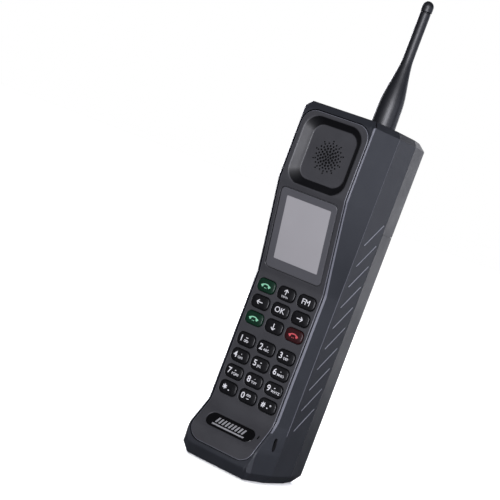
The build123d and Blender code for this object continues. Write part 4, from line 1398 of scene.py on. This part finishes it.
def material_rib_highlight(context):
    """Painted highlight: the pressed-in ribs on the grip are coloured light grey so they show as a thin
    bright line, with a satin face.
    """
    return moulded("ABS rib painted highlight", context.scene.phone_finish.rib, 0.35, 0.2 * MM, 0.006 * MM,
                   Metallic=0.15)


def material_rubber(context):
    """Moulded thermoplastic rubber: dark with a broad soft highlight."""
    return moulded("Rubber moulded", context.scene.phone_finish.rubber, 0.4, 0.3 * MM, 0.02 * MM, IOR=1.52)


INNER_FINISHES = {
    "display_gasket": ("Foam cut", "#1a1a1b", 0.9, {}),
    "display_module": ("Module frame stamped steel", "#8e9094", 0.35, {"Metallic": 1.0}),
    "keypad_mat": ("Silicone moulded grey", "#8f9296", 0.55, {}),
    "main_circuit_board": ("Epoxy board solder mask", "#0e4a2c", 0.35, {}),
    "shield_can": ("Steel tinned", "#b4b6b8", 0.3, {"Metallic": 1.0}),
    "vibration_motor": ("Steel turned", "#a2a4a8", 0.3, {"Metallic": 1.0}),
    "earpiece_mesh": ("Cloth woven black", "#0c0c0c", 0.85, {}),
    "earpiece_speaker": ("Speaker frame moulded", "#222226", 0.5, {}),
    "microphone": ("Capsule aluminium", "#a8aaae", 0.35, {"Metallic": 1.0}),
    # Painted shade: the charging socket is nickel-plated steel, its tone darkened to stand for the shade
    # inside its slot
    "usb_socket": ("Steel nickel plated in painted shade", "#55565a", 0.28, {"Metallic": 1.0}),
    "battery_pack": ("Battery wrap printed film", "#23262d", 0.38, {}),
    "battery_contacts": ("Contacts gold plated", "#c8a24a", 0.25, {"Metallic": 1.0}),
    "sim_sockets": ("Steel stamped", "#a9abb0", 0.3, {"Metallic": 1.0}),
    "rear_loudspeaker": ("Loudspeaker frame moulded", "#1d1d20", 0.5, {}),
    "case_screws": ("Screw steel blackened", "#3a3b3e", 0.35, {"Metallic": 1.0}),
    "antenna_bush": ("Brass turned", "#b08d45", 0.28, {"Metallic": 1.0}),
    "antenna_stud": ("Brass nickel plated", "#a8a69c", 0.25, {"Metallic": 1.0}),
    "antenna_core": ("Copper drawn", "#b8714a", 0.3, {"Metallic": 1.0}),
}


def finish_inner_parts():
    """Gives each part that stays as it is in the frame its own finish."""
    for node, (name, tint, roughness, values) in INNER_FINISHES.items():
        material = moulded(name, tint, roughness, 0.3 * MM, 0.012 * MM, 0.08, 6 * MM, **values)
        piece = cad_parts[node]
        for slot in piece.material_slots:
            slot.material = material
        if not piece.material_slots:
            piece.data.materials.append(material)


# Stage -------------------------------------------------------------------------------------------

def aim(place, target):
    """Turn and place of something at a place that looks at a target."""
    forward = (Vector(target) - Vector(place)).normalized()
    turn = forward.to_track_quat("-Z", "Y").to_matrix().to_4x4()
    return Matrix.Translation(place) @ turn


LIGHT_TARGET = (0, 0, 0.11)
# Name, place, side and power of each soft light, and its tint.
LIGHTS = (
    ("key", (0.62, -1.0, 0.2), 0.6, 17.5, "#f4f4fc"),
    ("front", (0.0, -1.25, 0.1), 0.6, 1.6, "#f4f4fc"),
    ("side", (1.0, -0.7, 0.1), 0.6, 1.8, "#eceefc"),
    ("right", (1.2, -0.1, 0.2), 0.6, 2.0, "#e6eafc"),
    ("rear_right", (0.8, 0.9, 0.3), 0.6, 1.6, "#e6eafc"),
    ("over", (0.4, -0.8, 0.9), 0.6, 0.6, "#ffffff"),
    ("rear_left", (-0.95, 0.75, 0.4), 0.8, 18.0, "#f6f6fc"),
    ("rear", (-0.15, 1.35, 0.3), 0.8, 5.0, "#f6f6fc"),
)
FLOOR_RINGS = (0.0, 0.5, 3.0, 20.0, 90.0)
FLOOR_Z = -0.0002
AMBIENT, SEEN = 0.03, 1.0


def add_light(name, place, side, power, tint):
    """Soft square light aimed at the phone's middle, which the camera doesn't see."""
    light = bpy.data.lights.new(name, "AREA")
    light.shape, light.size, light.size_y = "RECTANGLE", side, side
    light.energy, light.color = power, linear(tint)[:3]
    carrier = bpy.data.objects.new(name, light)
    carrier.matrix_world = aim(place, LIGHT_TARGET)
    carrier.visible_camera = False
    bpy.context.scene.collection.objects.link(carrier)


def build_camera(context):
    """Camera at its place, square to its viewing direction and its upward direction."""
    stage = context.scene.phone_stage
    camera = bpy.data.cameras.new("camera")
    camera.lens, camera.sensor_width = stage.lens, 36.0
    camera.clip_start, camera.clip_end = 0.02, 50.0
    carrier = bpy.data.objects.new("camera", camera)
    forward = Vector(stage.forward).normalized()
    right = forward.cross(Vector(stage.up)).normalized()
    up = right.cross(forward)
    turn = Matrix((right, up, -forward)).transposed().to_4x4()
    carrier.matrix_world = Matrix.Translation(stage.camera) @ turn
    context.scene.collection.objects.link(carrier)
    context.scene.camera = carrier


def build_floor(context):
    """Pale disc just under the base, which throws no light back on the phone."""
    turn = np.linspace(0, 2 * np.pi, 48, endpoint=False)
    reach = np.array(FLOOR_RINGS)[:, None]
    disc = Skin()
    disc.grid(np.stack([reach * np.cos(turn), reach * np.sin(turn), FLOOR_Z + 0 * reach * turn], -1), True)
    floor = new_piece(disc.mesh("floor", facing=(0, 0, 1)))
    floor.data.materials.append(moulded("Floor painted", context.scene.phone_finish.floor, 0.9, 3 * MM,
                                        0.01 * MM, 0.01, 0.5))
    floor.visible_diffuse = False
    floor.visible_glossy = False
    return floor


def light_floor(context, floor):
    """Wide sun that lights the floor and nothing else."""
    sky = bpy.data.lights.new("floor_light", "SUN")
    sky.energy = 3.8
    sky.angle = math.radians(70)
    carrier = bpy.data.objects.new("floor_light", sky)
    context.scene.collection.objects.link(carrier)
    lit = bpy.data.collections.new("lit_by_floor_light")
    lit.objects.link(floor)
    carrier.light_linking.receiver_collection = lit


def build_stage(context):
    """Camera, pale floor, white surroundings and soft lights."""
    build_camera(context)
    floor = build_floor(context)
    build_surroundings(context)
    for light in LIGHTS:
        add_light(*light)
    light_floor(context, floor)


def build_surroundings(context):
    """White surroundings that shine on the phone with only a part of their brightness."""
    world = bpy.data.worlds.new("surroundings")
    world.use_nodes = True
    tree = world.node_tree
    background = next(node for node in tree.nodes if node.type == "BACKGROUND")
    background.inputs["Color"].default_value = linear("#ffffff")
    seen = add(tree, "ShaderNodeLightPath").outputs["Is Camera Ray"]
    strength = add(tree, "ShaderNodeMapRange", {"Value": seen, "To Min": AMBIENT, "To Max": SEEN})
    tree.links.new(strength.outputs["Result"], background.inputs["Strength"])
    context.scene.world = world
    context.scene.view_settings.view_transform = "Standard"


# Add-on ------------------------------------------------------------------------------------------

class PHONE_OT_case(bpy.types.Operator):
    """Builds the case shell with its grip grooves, sound slots and charging slot"""
    bl_idname = "phone.case"
    bl_label = "Case"

    def execute(self, context):
        build_case(context)
        return {"FINISHED"}


class PHONE_OT_grips(bpy.types.Operator):
    """Builds the ribs in the grip grooves, bright with a painted highlight"""
    bl_idname = "phone.grips"
    bl_label = "Grip ribs"

    def execute(self, context):
        build_grips(context)
        return {"FINISHED"}


class PHONE_OT_battery_cover(bpy.types.Operator):
    """Builds the tray over the battery bay"""
    bl_idname = "phone.battery_cover"
    bl_label = "Battery cover"

    def execute(self, context):
        build_battery_cover(context)
        return {"FINISHED"}


class PHONE_OT_front_cover(bpy.types.Operator):
    """Builds the front moulding with its key holes, display step and ear dish"""
    bl_idname = "phone.front_cover"
    bl_label = "Front cover"

    def execute(self, context):
        build_front_cover(context)
        return {"FINISHED"}


class PHONE_OT_keys(bpy.types.Operator):
    """Builds the key caps and prints their signs"""
    bl_idname = "phone.keys"
    bl_label = "Keys"

    def execute(self, context):
        build_keys(context)
        return {"FINISHED"}


class PHONE_OT_display(bpy.types.Operator):
    """Builds the display window and its panel"""
    bl_idname = "phone.display"
    bl_label = "Display"

    def execute(self, context):
        build_display(context)
        return {"FINISHED"}


class PHONE_OT_badge(bpy.types.Operator):
    """Builds the plain badge on the chin"""
    bl_idname = "phone.badge"
    bl_label = "Badge"

    def execute(self, context):
        build_badge(context)
        return {"FINISHED"}


class PHONE_OT_antenna(bpy.types.Operator):
    """Builds the antenna's rubber sleeve and cap"""
    bl_idname = "phone.antenna"
    bl_label = "Antenna"

    def execute(self, context):
        build_antenna(context)
        return {"FINISHED"}


class PHONE_OT_inner_parts(bpy.types.Operator):
    """Gives the parts inside the case their finishes"""
    bl_idname = "phone.inner_parts"
    bl_label = "Inner parts"

    def execute(self, context):
        finish_inner_parts()
        return {"FINISHED"}


class PHONE_OT_stage(bpy.types.Operator):
    """Sets the camera, the floor and the lights"""
    bl_idname = "phone.stage"
    bl_label = "Stage"

    def execute(self, context):
        build_stage(context)
        return {"FINISHED"}


STEPS = (PHONE_OT_case, PHONE_OT_grips, PHONE_OT_battery_cover,
         PHONE_OT_front_cover, PHONE_OT_keys, PHONE_OT_display,
         PHONE_OT_badge, PHONE_OT_antenna, PHONE_OT_inner_parts,
         PHONE_OT_stage)
SETTINGS = {"phone_case": CaseSettings, "phone_keys": KeySettings, "phone_display": DisplaySettings,
            "phone_antenna": AntennaSettings, "phone_finish": FinishSettings,
            "phone_stage": StageSettings}


class PHONE_PT_making(bpy.types.Panel):
    """Lists the steps of the making"""
    bl_idname = "PHONE_PT_making"
    bl_label = "Brick phone"
    bl_space_type = "VIEW_3D"
    bl_region_type = "UI"
    bl_category = "Brick phone"

    def draw(self, context):
        for kind in STEPS:
            self.layout.operator(kind.bl_idname)


def register():
    for kind in (*SETTINGS.values(), *STEPS, PHONE_PT_making):
        bpy.utils.register_class(kind)
    for name, kind in SETTINGS.items():
        setattr(bpy.types.Scene, name, bpy.props.PointerProperty(type=kind))


def unregister():
    for name in SETTINGS:
        delattr(bpy.types.Scene, name)
    for kind in reversed((*SETTINGS.values(), *STEPS, PHONE_PT_making)):
        bpy.utils.unregister_class(kind)


def main():
    register()
    for kind in STEPS:
        group, name = kind.bl_idname.split(".")
        getattr(getattr(bpy.ops, group), name)()
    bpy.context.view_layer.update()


if __name__ == "__main__":
    main()
